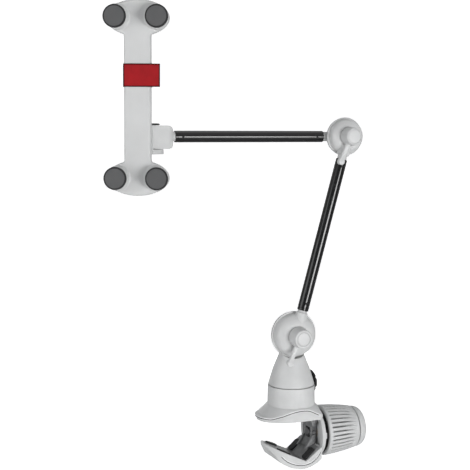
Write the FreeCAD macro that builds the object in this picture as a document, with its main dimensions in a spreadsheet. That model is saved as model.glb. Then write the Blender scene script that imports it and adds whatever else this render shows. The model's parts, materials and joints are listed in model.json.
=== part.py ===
import FreeCAD, Part
import math
import os

import Sketcher

# Clamp-on tablet and phone holder: screw clamp, turning neck, two elbows, two tubes and a padded plate.
# Millimetres and degrees. +Z is up, +X runs out through the clamp's knob, the tablet faces -Y.
# The origin is the middle of the upper jaw's flat underside, under the neck's axis.

SIZES = {
    # Places of the joints
    "pan_rest": -5.0,
    "elbow_height": 87.2,
    "lower_lean": 15.2,
    "lower_reach": 208.6,
    "upper_reach": 207.2,
    "swing_rest": -21.0,
    "spin_rest": 0.4,
    "split_ahead": 5.0,
    "layer_offset": 8.0,
    # Clearances
    "split_gap": 0.3,
    "turning_fit": 0.05,
    "seat_fit": 0.02,
    "joint_gap": 0.3,
    # Upper jaw
    "foot_top_radius": 24.1,
    "foot_base_radius": 24.6,
    "foot_top": 33.6,
    "foot_base": 13.9,
    "brim_half_width": 25.8,
    "nose_long": 35.8,
    "nose_middle": 3.1,
    "brim_edge_top": 5.2,
    "brim_thick": 2.4,
    "brim_inset": 1.6,
    "brim_sweep": 58.0,
    "jaw_shoulder": 8.0,
    "post_groove_radius": 10.4,
    "ring_radius": 25.2,
    "ring_start": 24.3,
    "ring_thick": 3.8,
    "screw_drop": 18.8,
    "post_radius": 12.0,
    "post_seat": 12.0,
    "pivot_across": 23.2,
    "pivot_drop": 6.0,
    "pivot_pin_radius": 2.0,
    "ear_start": 7.3,
    "ear_thick": 3.0,
    "ear_round": 4.4,
    "bracket_thick": 1.6,
    "housing_radius": 20.6,
    "housing_deep": 2.9,
    "hub_radius": 16.0,
    "pad_recess": 2.0,
    "upper_pad_reach": 26.0,
    "upper_pad_end": 3.0,
    "upper_pad_spread": 10.6,
    "upper_pad_wide": 8.0,
    "plug_across": 22.0,
    "plug_aside": 14.0,
    # Lower jaw
    "jaw_half_width": 24.0,
    "jaw_wall": 2.8,
    "jaw_nose_long": 29.4,
    "nose_thick": 1.4,
    "jaw_belly_drop": 48.9,
    "jaw_end_out": 23.9,
    "jaw_end_drop": 41.2,
    "vee_across": 6.2,
    "vee_drop": 42.4,
    "vee_right_across": 23.6,
    "vee_right_drop": 27.4,
    "vee_left_out": 32.5,
    "vee_left_drop": 24.4,
    "vee_thick": 3.0,
    "heel_half_width": 7.0,
    "heel_thick": 5.6,
    "eye_radius": 3.6,
    "jaw_pad_long": 14.6,
    "jaw_pad_wide": 8.8,
    "jaw_pad_thick": 1.6,
    "jaw_pad_spread": 16.3,
    "right_pad_start": 0.8,
    "left_pad_start": 17.6,
    # Clamp drive
    "rod_radius": 4.0,
    "rod_start": 18.4,
    "rod_end": 63.0,
    "cross_pin_radius": 1.6,
    "slot_clearance": 0.15,
    "slot_rise": 1.0,
    "bush_radius": 8.0,
    "bush_reach": 38.4,
    "washer_radius": 20.0,
    "washer_thick": 4.2,
    "flange_radius": 24.4,
    "flange_thick": 1.0,
    "knob_radius": 26.4,
    "knob_waist_radius": 22.2,
    "knob_long": 38.5,
    "cap_radius": 21.4,
    "cap_long": 10.4,
    "groove_count": 36.0,
    "groove_wide": 1.8,
    "groove_floor": 22.6,
    "nut_radius": 9.2,
    "nut_long": 17.0,
    # Neck and base elbow
    "base_drum_radius": 23.2,
    "base_drum_deep": 15.0,
    "drum_rim": 2.4,
    "neck_mid_radius": 18.9,
    "neck_mid_below": 36.0,
    "neck_top_radius": 13.2,
    "neck_top_below": 22.0,
    "neck_bore_top": 31.0,
    "stud_radius": 3.0,
    "lock_bearing": 40.0,
    "lock_rise": 30.4,
    "lock_boss_radius": 9.0,
    "lock_boss_out": 28.2,
    "lock_knob_radius": 16.4,
    "lock_knob_thick": 3.2,
    "lock_screw_radius": 1.9,
    # Top elbow
    "top_drum_radius": 18.7,
    "top_drum_deep": 12.0,
    # Levers
    "base_boss_radius": 10.6,
    "base_boss_long": 14.6,
    "top_boss_radius": 9.6,
    "top_boss_long": 11.8,
    "boss_taper": 0.88,
    "lever_long": 31.0,
    "lever_wide": 7.0,
    "lever_stem_wide": 5.2,
    "lever_thick": 3.6,
    "lever_angle": 25.0,
    "lever_lift": 3.2,
    "boss_cap_radius": 6.9,
    "boss_cap_thick": 1.2,
    # Tubes
    "tube_radius": 5.8,
    "tube_wall": 0.9,
    "collar_radius": 4.8,
    "base_collar_long": 3.4,
    "top_collar_long": 5.2,
    "upper_collar_long": 2.6,
    "head_collar_long": 3.0,
    "spigot_long": 15.0,
    "pin_radius": 1.3,
    "pin_inset": 7.5,
    # Head
    "knuckle_radius": 13.0,
    "knuckle_long": 27.4,
    "knuckle_below": 12.1,
    "knuckle_above": 10.6,
    "knuckle_round": 6.0,
    "swing_pin_radius": 4.0,
    "swing_disc_radius": 19.0,
    "swing_disc_thick": 4.6,
    "swing_knob_radius": 15.5,
    "swing_knob_thick": 1.7,
    "web_front": 17.4,
    "web_half_width": 11.0,
    "tilt_ahead": 24.0,
    "tilt_radius": 5.6,
    "tilt_half_width": 6.5,
    "tilt_pin_radius": 2.2,
    "cheek_thick": 3.6,
    "tilt_disc_radius": 13.5,
    "tilt_disc_thick": 3.0,
    "tilt_disc_ahead": 6.8,
    # Plate
    "plate_lift": 35.0,
    "lobe_spacing": 146.8,
    "lobe_half_wide": 29.4,
    "lobe_half_high": 16.6,
    "spine_wide": 24.9,
    "plate_thick": 9.0,
    "plate_wall": 2.4,
    "cover_thick": 1.6,
    "pad_across": 38.4,
    "socket_base_radius": 11.6,
    "socket_radius": 11.2,
    "socket_high": 8.4,
    "pad_radius": 10.6,
    "pad_high": 4.6,
    "pad_sink": 1.4,
    "spin_screw_radius": 3.0,
    "spin_flange_radius": 5.0,
    "spin_flange_thick": 1.4,
    "band_lift": 21.0,
    "band_high": 21.2,
    "band_thick": 0.6,
    "band_tab": 8.8,
}

doc = FreeCAD.newDocument("tablet_holder")
sheet = doc.addObject("Spreadsheet::Sheet", "Sizes")
for row, (alias, number) in enumerate(SIZES.items(), start=1):
    sheet.set("A%d" % row, alias)
    sheet.set("B%d" % row, str(number))
    sheet.setAlias("B%d" % row, alias)
doc.recompute()


class Size:
    """A length or an angle that carries its number and its formula together."""

    def __init__(self, number, text):
        self.number = float(number)
        self.text = text

    def __add__(self, other):
        other = as_size(other)
        return Size(self.number + other.number, "(%s + %s)" % (self.text, other.text))

    def __radd__(self, other):
        return as_size(other) + self

    def __sub__(self, other):
        other = as_size(other)
        return Size(self.number - other.number, "(%s - %s)" % (self.text, other.text))

    def __rsub__(self, other):
        return as_size(other) - self

    def __mul__(self, other):
        other = as_size(other)
        return Size(self.number * other.number, "(%s * %s)" % (self.text, other.text))

    def __rmul__(self, other):
        return as_size(other) * self

    def __truediv__(self, other):
        other = as_size(other)
        return Size(self.number / other.number, "(%s / %s)" % (self.text, other.text))

    def __neg__(self):
        return Size(-self.number, "(0 - %s)" % self.text)


def as_size(value):
    return value if isinstance(value, Size) else Size(value, repr(float(value)))


def size(alias):
    return Size(SIZES[alias], "Sizes." + alias)


def slope_angle(rise, run):
    """Angle above level of a straight run."""
    return Size(math.degrees(math.atan2(rise.number, run.number)),
                "(atan2(%s; %s) / 1 deg)" % (rise.text, run.text))


def root_of(value):
    return Size(math.sqrt(value.number), "sqrt(%s)" % value.text)


class Frame:
    """A place and a direction in the assembly, as a chain of shifts and turns."""

    def __init__(self, text="placement(vector(0; 0; 0); rotation(vector(0; 0; 1); 0))"):
        self.text = text

    def shift(self, x=0, y=0, z=0):
        words = tuple(as_size(v).text for v in (x, y, z))
        step = "placement(vector(%s; %s; %s); rotation(vector(0; 0; 1); 0))" % words
        return Frame(self.text + " * " + step)

    def turn(self, axis, angle):
        vector = {"x": "1; 0; 0", "y": "0; 1; 0", "z": "0; 0; 1"}[axis]
        step = "placement(vector(0; 0; 0); rotation(vector(%s); %s))" % (vector, as_size(angle).text)
        return Frame(self.text + " * " + step)


AIM = {"z": ("z", 0), "-z": ("x", 180), "x": ("y", 90), "-x": ("y", -90), "y": ("x", -90), "-y": ("x", 90)}
parts = []


def bind(item, name, value):
    item.setExpression(name, as_size(value).text)


def put(item, frame):
    item.setExpression("Placement", frame.text)


def keep(item, label):
    item.Label = label
    parts.append(item)
    return item


def new_body(label, frame):
    body = doc.addObject("PartDesign::Body", label + "_body")
    put(body, frame)
    return keep(body, label)


def origin_piece(body, role):
    return [piece for piece in body.Origin.OriginFeatures if piece.Role == role][0]


def new_sketch(body, plane, lift=0):
    sketch = body.newObject("Sketcher::SketchObject", body.Label + "_sketch")
    sketch.AttachmentSupport = [(origin_piece(body, plane + "_Plane"), "")]
    sketch.MapMode = "FlatFace"
    bind(sketch, "AttachmentOffset.Base.z", lift)
    return sketch


def hold(sketch, kind, first, second, value):
    """Dimension a point of the sketch from its origin."""
    value = as_size(value)
    index = sketch.addConstraint(Sketcher.Constraint(kind, -1, 1, first, second, value.number))
    if "Sizes." in value.text:
        sketch.setExpression("Constraints[%d]" % index, value.text)


def hold_point(sketch, first, second, x, y):
    hold(sketch, "DistanceX", first, second, x)
    hold(sketch, "DistanceY", first, second, y)


def vector(x, y):
    return FreeCAD.Vector(as_size(x).number, as_size(y).number, 0)


def outline(sketch, path):
    """Closed outline. A corner is (x, y), an arc is (mid x, mid y, x, y) to its end from the last corner."""
    count = len(path)
    ends = [corner[-2:] for corner in path]
    edges = []
    for index, corner in enumerate(path):
        start = vector(*ends[index - 1])
        finish = vector(*ends[index])
        if len(corner) == 2:
            edges.append(sketch.addGeometry(Part.LineSegment(start, finish)))
        else:
            edges.append(sketch.addGeometry(Part.Arc(start, vector(*corner[:2]), finish)))
    turned = []
    for index, corner in enumerate(path):
        # An arc that runs clockwise is stored from its end to its start
        start = vector(*ends[index - 1])
        stored = sketch.getPoint(edges[index], 1)
        turned.append((stored - start).Length > (stored - vector(*ends[index])).Length)
    for index in range(count):
        after = (index + 1) % count
        finish_end = 1 if turned[index] else 2
        start_end = 2 if turned[after] else 1
        sketch.addConstraint(Sketcher.Constraint("Coincident", edges[index], finish_end,
                                                 edges[after], start_end))
        hold_point(sketch, edges[index], finish_end, *ends[index])
    for index, corner in enumerate(path):
        if len(corner) == 4:
            marker = sketch.addGeometry(Part.Point(vector(*corner[:2])), True)
            hold_point(sketch, marker, 1, corner[0], corner[1])
            sketch.addConstraint(Sketcher.Constraint("PointOnObject", marker, 1, edges[index]))
    return sketch


def ring(sketch, x, y, radius):
    edge = sketch.addGeometry(Part.Circle(vector(x, y), FreeCAD.Vector(0, 0, 1), as_size(radius).number))
    hold_point(sketch, edge, 3, x, y)
    index = sketch.addConstraint(Sketcher.Constraint("Radius", edge, as_size(radius).number))
    sketch.setExpression("Constraints[%d]" % index, as_size(radius).text)
    return sketch


def oval(sketch, x, y, half_wide, half_high):
    """Ellipse that is wider than high, with its four ends held."""
    centre = vector(x, y)
    wide_end = vector(x + half_wide, y)
    high_end = vector(x, y + half_high)
    edge = sketch.addGeometry(Part.Ellipse(wide_end, high_end, centre))
    sketch.exposeInternalGeometry(edge)
    major = edge + 1
    minor = edge + 2
    hold_point(sketch, edge, 3, x, y)
    for line, length in ((major, half_wide * 2), (minor, half_high * 2)):
        index = sketch.addConstraint(Sketcher.Constraint("Distance", line, as_size(length).number))
        sketch.setExpression("Constraints[%d]" % index, as_size(length).text)
    sketch.addConstraint(Sketcher.Constraint("Horizontal", major))
    return sketch


def frame_around(sketch, reach):
    """Large square round an inner outline, so that what lies outside the inner one is cut away."""
    return outline(sketch, [(-reach, -reach), (reach, -reach), (reach, reach), (-reach, reach)])


def extrude(body, kind, sketch, length, both_ways=False, backwards=False):
    feature = body.newObject("PartDesign::" + kind, body.Label + "_" + kind.lower())
    feature.Profile = sketch
    bind(feature, "Length", length)
    feature.Midplane = both_ways
    feature.Reversed = backwards
    return feature


def revolve(body, kind, sketch, axis):
    feature = body.newObject("PartDesign::" + kind, body.Label + "_" + kind.lower())
    feature.Profile = sketch
    feature.ReferenceAxis = (sketch, [axis])
    feature.Angle = 360
    return feature


def round_bar(body, kind, radius, length, aim, x=0, y=0, z=0):
    """Cylinder added to or cut from a body, from the given point along the given direction."""
    feature = body.newObject("PartDesign::%sCylinder" % kind, body.Label + "_bar")
    bind(feature, "Radius", radius)
    bind(feature, "Height", length)
    put(feature, Frame().shift(x, y, z).turn(*AIM[aim]))
    return feature


def block(body, kind, x_span, y_span, z_span):
    """Box added to or cut from a body, between two limits on each axis."""
    feature = body.newObject("PartDesign::%sBox" % kind, body.Label + "_block")
    bind(feature, "Length", x_span[1] - x_span[0])
    bind(feature, "Width", y_span[1] - y_span[0])
    bind(feature, "Height", z_span[1] - z_span[0])
    put(feature, Frame().shift(x_span[0], y_span[0], z_span[0]))
    return feature


def around(body, feature, axis, count, whole=360):
    pattern = body.newObject("PartDesign::PolarPattern", body.Label + "_pattern")
    pattern.Originals = [feature]
    pattern.Axis = (origin_piece(body, axis + "_Axis"), [""])
    pattern.Angle = whole
    bind(pattern, "Occurrences", count)
    body.Tip = pattern
    return pattern


def soften(body, feature, radius, wanted):
    """Round the edges of a feature that the given test picks."""
    doc.recompute()
    names = ["Edge%d" % (n + 1) for n, edge in enumerate(feature.Shape.Edges) if wanted(edge)]
    fillet = body.newObject("PartDesign::Fillet", body.Label + "_fillet")
    fillet.Base = (feature, names)
    bind(fillet, "Radius", radius)
    return fillet


def turned_piece(label, frame, profile, plane="XZ", axis="H_Axis"):
    """Piece of revolution, by its half section as (along, radius) pairs."""
    body = new_body(label, frame)
    revolve(body, "Revolution", outline(new_sketch(body, plane), profile), axis)
    return body


def free_bar(radius, length, aim, x=0, y=0, z=0):
    bar = doc.addObject("Part::Cylinder", "bar")
    bind(bar, "Radius", radius)
    bind(bar, "Height", length)
    put(bar, Frame().shift(x, y, z).turn(*AIM[aim]))
    return bar


def group(label, frame, members):
    """Several like solids that share one node."""
    bundle = doc.addObject("Part::Compound", label + "_group")
    bundle.Links = members
    put(bundle, frame)
    return keep(bundle, label)


# Frames, each carried by the one before
clamp = Frame()
screw_line = clamp.shift(0, 0, -size("screw_drop"))
neck = clamp.turn("z", size("pan_rest")).shift(0, 0, size("elbow_height"))
lower_arm = neck.turn("y", size("lower_lean"))
top_elbow = lower_arm.shift(0, 0, size("lower_reach"))
upper_arm = top_elbow.turn("y", -90 - size("lower_lean"))
upper_end = upper_arm.shift(0, -size("split_ahead") + size("layer_offset"), size("upper_reach"))
swing = upper_end.turn("y", 90).turn("z", size("swing_rest"))
tilt = swing.shift(0, -size("tilt_ahead"), 0)
spin = tilt.shift(0, -size("tilt_disc_ahead"), 0)
plate_back = size("tilt_disc_thick") + size("joint_gap")
plate = spin.turn("y", size("spin_rest")).shift(0, -plate_back, 0)

split_front = -size("split_ahead") - size("split_gap") / 2
split_rear = -size("split_ahead") + size("split_gap") / 2
lower_layer = -size("split_ahead") - size("layer_offset")
upper_layer = -size("split_ahead") + size("layer_offset")
neck_foot = size("elbow_height") - size("foot_top") - size("joint_gap")


def rounded_nose(middle, half, long):
    """Half an oval on the left of a plan, from its back corner round to its front one."""
    return [(middle, half), (middle - long * 0.4226, half * 0.9063, middle - long * 0.766, half * 0.6428),
            (middle - long, 0, middle - long * 0.766, -half * 0.6428),
            (middle - long * 0.4226, -half * 0.9063, middle, -half)]


def upper_jaw():
    """Foot, hat-like brim, flat underside, shoulder, end ring and pivot lug in one moulding."""
    body = new_body("upper_jaw", clamp)
    edge_top = size("brim_edge_top")
    edge_low = edge_top - size("brim_thick")
    foot = size("foot_base_radius")
    foot_base = size("foot_base")
    sweep = size("brim_sweep")
    wall = size("brim_thick")
    core = new_sketch(body, "XZ")
    outline(core, [(0, 0), (sweep, 0), (sweep, edge_low), (foot + 8.4, edge_low),
                   (foot + 4.0, foot_base - 5.2 - wall), (foot + 1.2, foot_base - 1.4 - wall),
                   (foot, foot_base - wall), (foot, foot_base), (size("foot_top_radius"), size("foot_top")),
                   (0, size("foot_top"))])
    revolve(body, "Revolution", core, "V_Axis")

    def trim(inset, height):
        half = size("brim_half_width") - inset
        long = size("nose_long") - inset
        middle = -size("nose_middle")
        right = size("ring_start")
        plan = new_sketch(body, "XY")
        frame_around(plan, sweep * 1.6)
        outline(plan, rounded_nose(middle, half, long) + [
            (right - 1.5, -half), (right, -half + 1.5), (right, half - 1.5), (right - 1.5, half)])
        extrude(body, "Pocket", plan, height, backwards=True)

    trim(size("brim_inset"), size("foot_top"))
    brim = new_sketch(body, "XZ")
    outline(brim, [(sweep, edge_low), (foot + 8.4, edge_low),
                   (foot + 4.0, foot_base - 5.2 - wall), (foot + 1.2, foot_base - 1.4 - wall),
                   (foot, foot_base - wall), (foot, foot_base), (foot + 2.4, foot_base - 1.5),
                   (foot + 5.4, foot_base - 5.0), (foot + 9.8, edge_top), (sweep, edge_top)])
    revolve(body, "Revolution", brim, "V_Axis")
    trim(0, size("foot_top"))

    drop = size("screw_drop")
    radius = size("ring_radius")
    chord = root_of(radius * radius - drop * drop)
    shoulder = outline(new_sketch(body, "YZ", size("jaw_shoulder")),
                       [(chord, 0), (0, radius - drop, -chord, 0)])
    extrude(body, "Pad", shoulder, size("ring_start") - size("jaw_shoulder") + 1)
    end_ring = ring(new_sketch(body, "YZ", size("ring_start")), 0, -drop, radius)
    extrude(body, "Pad", end_ring, size("ring_thick"))

    ring_end = size("ring_start") + size("ring_thick")
    washer = size("washer_radius")
    pointer_end = ring_end + size("washer_thick") - size("flange_thick") - size("joint_gap")
    block(body, "Additive", (ring_end - 1, pointer_end), (-washer - 1.6, -washer + 0.9),
          (-drop - 3, -drop + 3))
    round_bar(body, "Subtractive", washer + size("seat_fit"), size("washer_thick") + 2, "x",
              ring_end, 0, -drop)
    round_bar(body, "Additive", size("hub_radius"), size("washer_thick"), "x", ring_end - 0.6, 0, -drop)
    round_bar(body, "Subtractive", size("housing_radius"), size("housing_deep") + 1, "x",
              size("ring_start") - 1, 0, -drop)
    block(body, "Additive", bracket_span(), bracket_width(), (as_size(0), size("bracket_thick") + 2))
    block(body, "Subtractive", bracket_span(), bracket_width(), (as_size(-1), size("bracket_thick")))
    round_bar(body, "Subtractive", size("bush_radius") + size("seat_fit"), 20, "x",
              size("ring_start"), 0, -drop)
    post_low = size("foot_top") - size("post_seat") - size("joint_gap")
    round_bar(body, "Subtractive", size("post_radius") + size("turning_fit"), 40, "z", 0, 0, post_low)
    for x_span, y_span in jaw_pad_places():
        block(body, "Subtractive", x_span, y_span, (as_size(-1), size("pad_recess")))
    plug_x = size("plug_across")
    plug_y = size("plug_aside")
    round_bar(body, "Subtractive", 2.4, 6, "-z", plug_x, plug_y, 8)
    round_bar(body, "Subtractive", 3.5, 6, "z", plug_x, plug_y, 5.1)
    boss = body.newObject("PartDesign::AdditiveCylinder", "lock_boss")
    bind(boss, "Radius", size("lock_boss_radius"))
    bind(boss, "Height", size("lock_boss_out") - 14)
    turned = Frame().turn("z", size("lock_bearing"))
    put(boss, turned.shift(14, 0, size("lock_rise")).turn("y", 90))
    reach = size("lock_boss_out") * 2
    block(body, "Subtractive", (-reach, reach), (-reach, reach), (size("foot_top"), size("foot_top") + 20))
    round_bar(body, "Subtractive", size("post_radius") + size("turning_fit"), 40, "z", 0, 0, post_low)
    hole = body.newObject("PartDesign::SubtractiveCylinder", "lock_hole")
    bind(hole, "Radius", size("lock_screw_radius") + 0.06)
    bind(hole, "Height", 40)
    put(hole, turned.shift(5, 0, size("lock_rise")).turn("y", 90))
    return body


def bracket_span():
    return as_size(6), size("ring_start") - 0.4


def bracket_width():
    half = size("ear_start") + size("ear_thick")
    return -half, half


def pivot_bracket():
    """Bent bracket let into the underside, its two ears holding the pivot pin."""
    body = new_body("pivot_bracket", clamp)
    across = size("pivot_across")
    low = size("pivot_drop")
    eye = size("ear_round")
    fit = size("seat_fit")
    x_span = bracket_span()
    y_span = bracket_width()
    block(body, "Additive", (x_span[0] + fit, x_span[1] - fit), (y_span[0] + fit, y_span[1] - fit),
          (as_size(0), size("bracket_thick")))
    ear = new_sketch(body, "XZ")
    outline(ear, [(across - eye - 3, 0.5), (across - eye * 0.866, -low - eye * 0.5),
                  (across, -low - eye, x_span[1] - fit, -low - eye * 0.7), (x_span[1] - fit, 0.5)])
    extrude(body, "Pad", ear, (y_span[1] - fit) * 2, both_ways=True)
    between = size("ear_start")
    block(body, "Subtractive", (across - eye - 5, x_span[1] + 1), (-between, between),
          (-low - eye - 1, as_size(0)))
    round_bar(body, "Subtractive", size("pivot_pin_radius") + fit, 80, "y", across, -40, -low)
    return body


def jaw_pad_places():
    """Two strips along the mouth, one each side of the middle."""
    half = size("upper_pad_wide") / 2
    for side in (-1, 1):
        middle = side * size("upper_pad_spread")
        yield (-size("upper_pad_reach"), size("upper_pad_end")), (middle - half, middle + half)


def upper_jaw_pads():
    members = []
    for x_span, y_span in jaw_pad_places():
        strip = doc.addObject("Part::Box", "strip")
        bind(strip, "Length", x_span[1] - x_span[0] - size("seat_fit") * 2)
        bind(strip, "Width", y_span[1] - y_span[0] - size("seat_fit") * 2)
        bind(strip, "Height", size("pad_recess"))
        put(strip, Frame().shift(x_span[0] + size("seat_fit"), y_span[0] + size("seat_fit"), 0))
        members.append(strip)
    group("upper_jaw_pads", clamp, members)


def pan_post():
    """Post fixed in the neck. It turns in the foot, and the lock screw's tip sits in its groove."""
    top = size("elbow_height") - size("neck_bore_top") - 0.2
    low = size("foot_top") - size("post_seat")
    wide = size("post_radius")
    slim = size("post_groove_radius")
    middle = size("lock_rise")
    half = size("lock_screw_radius") + 0.35
    turned_piece("pan_post", clamp.turn("z", size("pan_rest")), [
        (0, low), (wide - 0.8, low), (wide, low + 0.8), (wide, middle - half), (slim, middle - half),
        (slim, middle + half), (wide, middle + half), (wide, top), (0, top)], axis="V_Axis")


def clamp_small_parts():
    pin_long = (size("ear_start") + size("ear_thick")) * 2
    group("jaw_pivot_pin", clamp, [
        free_bar(size("pivot_pin_radius"), pin_long, "y",
                 size("pivot_across"), -pin_long / 2, -size("pivot_drop"))])
    face = size("ring_start") + size("ring_thick")
    washer_top = face + size("washer_thick")
    flange = washer_top - size("flange_thick")
    bush_start = size("ring_start") + size("housing_deep")
    turned_piece("rod_bush", screw_line, [
        (bush_start, size("rod_radius") + 0.12), (bush_start, size("bush_radius")),
        (size("bush_reach"), size("bush_radius")), (size("bush_reach"), size("rod_radius") + 0.12)])
    hub = size("hub_radius") + size("seat_fit")
    hub_end = face - 0.6 + size("washer_thick")
    turned_piece("knob_washer", screw_line, [
        (face, hub), (face, size("washer_radius")), (flange, size("washer_radius")),
        (flange, size("flange_radius")),
        (washer_top, size("flange_radius")), (washer_top, size("bush_radius") + size("seat_fit")),
        (hub_end, size("bush_radius") + size("seat_fit")), (hub_end, hub)])
    turned_piece("shoulder_plug", clamp.shift(size("plug_across"), size("plug_aside"), 0), [
        (0, 2.0), (2.38, 2.0), (2.38, 5.2), (3.2, 5.4), (2.6, 6.9), (0, 7.2)], axis="V_Axis")


def jaw_outline(inset):
    """Rounded nose on the left and straight sides, seen from above."""
    half = size("jaw_half_width") - inset
    long = size("jaw_nose_long") - inset
    middle = -size("nose_middle")
    end = size("jaw_end_out") + 6
    return rounded_nose(middle, half, long) + [(end, -half), (end, half)]


def jaw_plan(body, inset):
    """Trims a body to the lower jaw's outline."""
    plan = new_sketch(body, "XY")
    frame_around(plan, size("jaw_half_width") * 4)
    outline(plan, jaw_outline(inset))
    extrude(body, "Pocket", plan, 60)


def belly_path(inset):
    """Underside of the scoop from its nose to its right end."""
    belly = -size("jaw_belly_drop") + inset
    end = -size("jaw_end_drop") + inset
    right = size("jaw_end_out") - inset
    return [(-size("vee_left_out") - 2 + inset, -size("vee_left_drop") - size("nose_thick") + inset),
            (-20.5 + inset * 0.6, belly + 7.0, -3.0, belly), (11.0, belly + 0.4, right, end)]


def jaw_shell():
    """Scoop, cut from a block with rounded nose and belly and hollowed by a smaller one."""
    wall = size("jaw_wall")
    cavity = new_body("jaw_cavity", clamp)
    parts.remove(cavity)
    hollow = new_sketch(cavity, "XZ")
    left = -size("vee_left_out") - 2
    outline(hollow, belly_path(wall) + [(size("jaw_end_out") - wall, -10), (left + wall, -10)])
    extrude(cavity, "Pad", hollow, size("jaw_half_width") * 2, both_ways=True)
    jaw_plan(cavity, wall)

    body = new_body("jaw_shell", clamp)
    section = new_sketch(body, "XZ")
    right = size("jaw_end_out")
    outline(section, belly_path(0) + [(right, -size("vee_right_drop") - 1.6),
                                      (size("vee_across"), -size("vee_drop") + 0.5),
                                      (left, -size("vee_left_drop") + 1.3)])
    extrude(body, "Pad", section, size("jaw_half_width") * 2, both_ways=True)
    jaw_plan(body, 0)
    drop = size("vee_right_drop")
    window = block(body, "Subtractive", (right - wall - 1, right + 1), (-10, 10), (-drop - 5, -drop + 5))
    hollowed = body.newObject("PartDesign::Boolean", "jaw_hollow")
    hollowed.Type = "Cut"
    hollowed.setObjects([cavity])
    return window


def jaw_frame():
    """V plate with the heel block, the pivot eye and the slot for the rod's cross pin."""
    body = new_body("jaw_frame", clamp)
    inset = size("jaw_wall") + size("seat_fit")
    half = size("jaw_half_width") - inset
    left = -size("vee_left_out")
    left_drop = size("vee_left_drop")
    thick = size("vee_thick")
    right = size("jaw_end_out") - inset
    right_drop = size("vee_right_drop")
    lip = size("vee_right_across")
    section = new_sketch(body, "XZ")
    outline(section, [(left, -left_drop), (left, -left_drop - 1.0),
                      (size("vee_across"), -size("vee_drop") - thick), (right, -right_drop - thick - 2.0),
                      (right, -right_drop - 2.0), (size("vee_across"), -size("vee_drop"))])
    extrude(body, "Pad", section, half * 2, both_ways=True)
    jaw_plan(body, inset)

    across = size("pivot_across")
    low = size("pivot_drop")
    eye = size("eye_radius")
    heel_left = across - size("heel_thick") / 2
    heel_right = size("ring_start") + size("housing_deep") - 0.6
    heel = new_sketch(body, "XZ")
    outline(heel, [(heel_left - 5, -right_drop - 5), (heel_left - 0.5, -right_drop + 3),
                   (across - eye, -low), (across, -low + eye, across + eye, -low), (heel_right, -low - 3),
                   (heel_right, -right_drop - 1), (lip, -right_drop - 3.4), (right - 1, -right_drop - 4.4)])
    extrude(body, "Pad", heel, size("heel_half_width") * 2, both_ways=True)

    drop = size("screw_drop")
    pin = size("cross_pin_radius")
    slot_half = pin + size("slot_rise")
    side = pin + size("slot_clearance")
    slot = new_sketch(body, "XZ")
    outline(slot, [(across + side, -drop + slot_half - side),
                   (across, -drop + slot_half, across - side, -drop + slot_half - side),
                   (across - side, -drop - slot_half + side),
                   (across, -drop - slot_half, across + side, -drop - slot_half + side)])
    extrude(body, "Pocket", slot, size("heel_half_width") * 2 + 1, both_ways=True)
    window = size("rod_radius") + 0.4
    block(body, "Subtractive", (across - 12, across + 6), (-window, window),
          (-drop - window - 1.2, -drop + window + 1.2))
    round_bar(body, "Subtractive", size("pivot_pin_radius") + size("turning_fit"), 60, "y",
              across, -30, -low)
    for side in (-1, 1):
        gusset = new_sketch(body, "XZ", size("heel_half_width") * side + side * 1.6 - 1.2)
        outline(gusset, [(heel_left - 9, -right_drop - 6.6), (heel_left + 0.5, -right_drop + 7.5),
                         (heel_left + 3, -right_drop + 7.5), (heel_left + 3, -right_drop - 3.5)])
        extrude(body, "Pad", gusset, 2.4)
    return body


def jaw_pads():
    """Four rubber pads, two on each side of the V."""
    members = []
    area = new_body("jaw_pad_area", clamp)
    parts.remove(area)
    plan = new_sketch(area, "XY", -60)
    outline(plan, jaw_outline(size("jaw_wall") + size("joint_gap")))
    extrude(area, "Pad", plan, 60)
    left_run = size("vee_left_out") + size("vee_across")
    right_run = size("jaw_end_out") - size("jaw_wall") - size("seat_fit") - size("vee_across")
    left_rise = size("vee_drop") - size("vee_left_drop")
    right_rise = size("vee_drop") - size("vee_right_drop") - 2.0
    for side in (-1, 1):
        for run, rise, facing in ((left_run, left_rise, "left"), (right_run, right_rise, "right")):
            angle = slope_angle(rise, run)
            pad = doc.addObject("Part::Box", "jaw_pad")
            bind(pad, "Length", size("jaw_pad_long"))
            bind(pad, "Width", size("jaw_pad_wide"))
            bind(pad, "Height", size("jaw_pad_thick"))
            base = Frame().shift(size("vee_across"), 0, -size("vee_drop"))
            y_low = side * size("jaw_pad_spread") - size("jaw_pad_wide") / 2
            if facing == "right":
                put(pad, base.turn("y", -angle).shift(size("right_pad_start"), y_low, size("seat_fit")))
            else:
                reach = -size("jaw_pad_long") - size("left_pad_start")
                put(pad, base.turn("y", angle).shift(reach, y_low, size("seat_fit")))
            rounded = doc.addObject("Part::Fillet", "jaw_pad_rounded")
            rounded.Base = pad
            doc.recompute()
            upright = [n + 1 for n, edge in enumerate(pad.Shape.Edges)
                       if abs(edge.Length - SIZES["jaw_pad_thick"]) < 1e-6]
            rounded.Edges = [(n, 3.0, 3.0) for n in upright]
            trimmed = doc.addObject("Part::MultiCommon", "jaw_pad_trimmed")
            trimmed.Shapes = [rounded, area]
            members.append(trimmed)
    group("jaw_pads", clamp, members)


def draw_rod():
    body = new_body("draw_rod", screw_line)
    start = size("rod_start")
    end = size("rod_end")
    radius = size("rod_radius")
    shank = new_sketch(body, "XZ")
    outline(shank, [(start, 0), (start, radius - 0.8), (start + 0.8, radius), (end - 0.8, radius),
                    (end, radius - 0.8), (end, 0)])
    revolve(body, "Revolution", shank, "H_Axis")
    round_bar(body, "Subtractive", size("cross_pin_radius") + size("seat_fit"), 20, "y",
              size("pivot_across"), -10, 0)
    pin_long = size("heel_half_width") * 2
    group("rod_cross_pin", screw_line, [
        free_bar(size("cross_pin_radius"), pin_long, "y", size("pivot_across"), -pin_long / 2, 0)])


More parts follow.
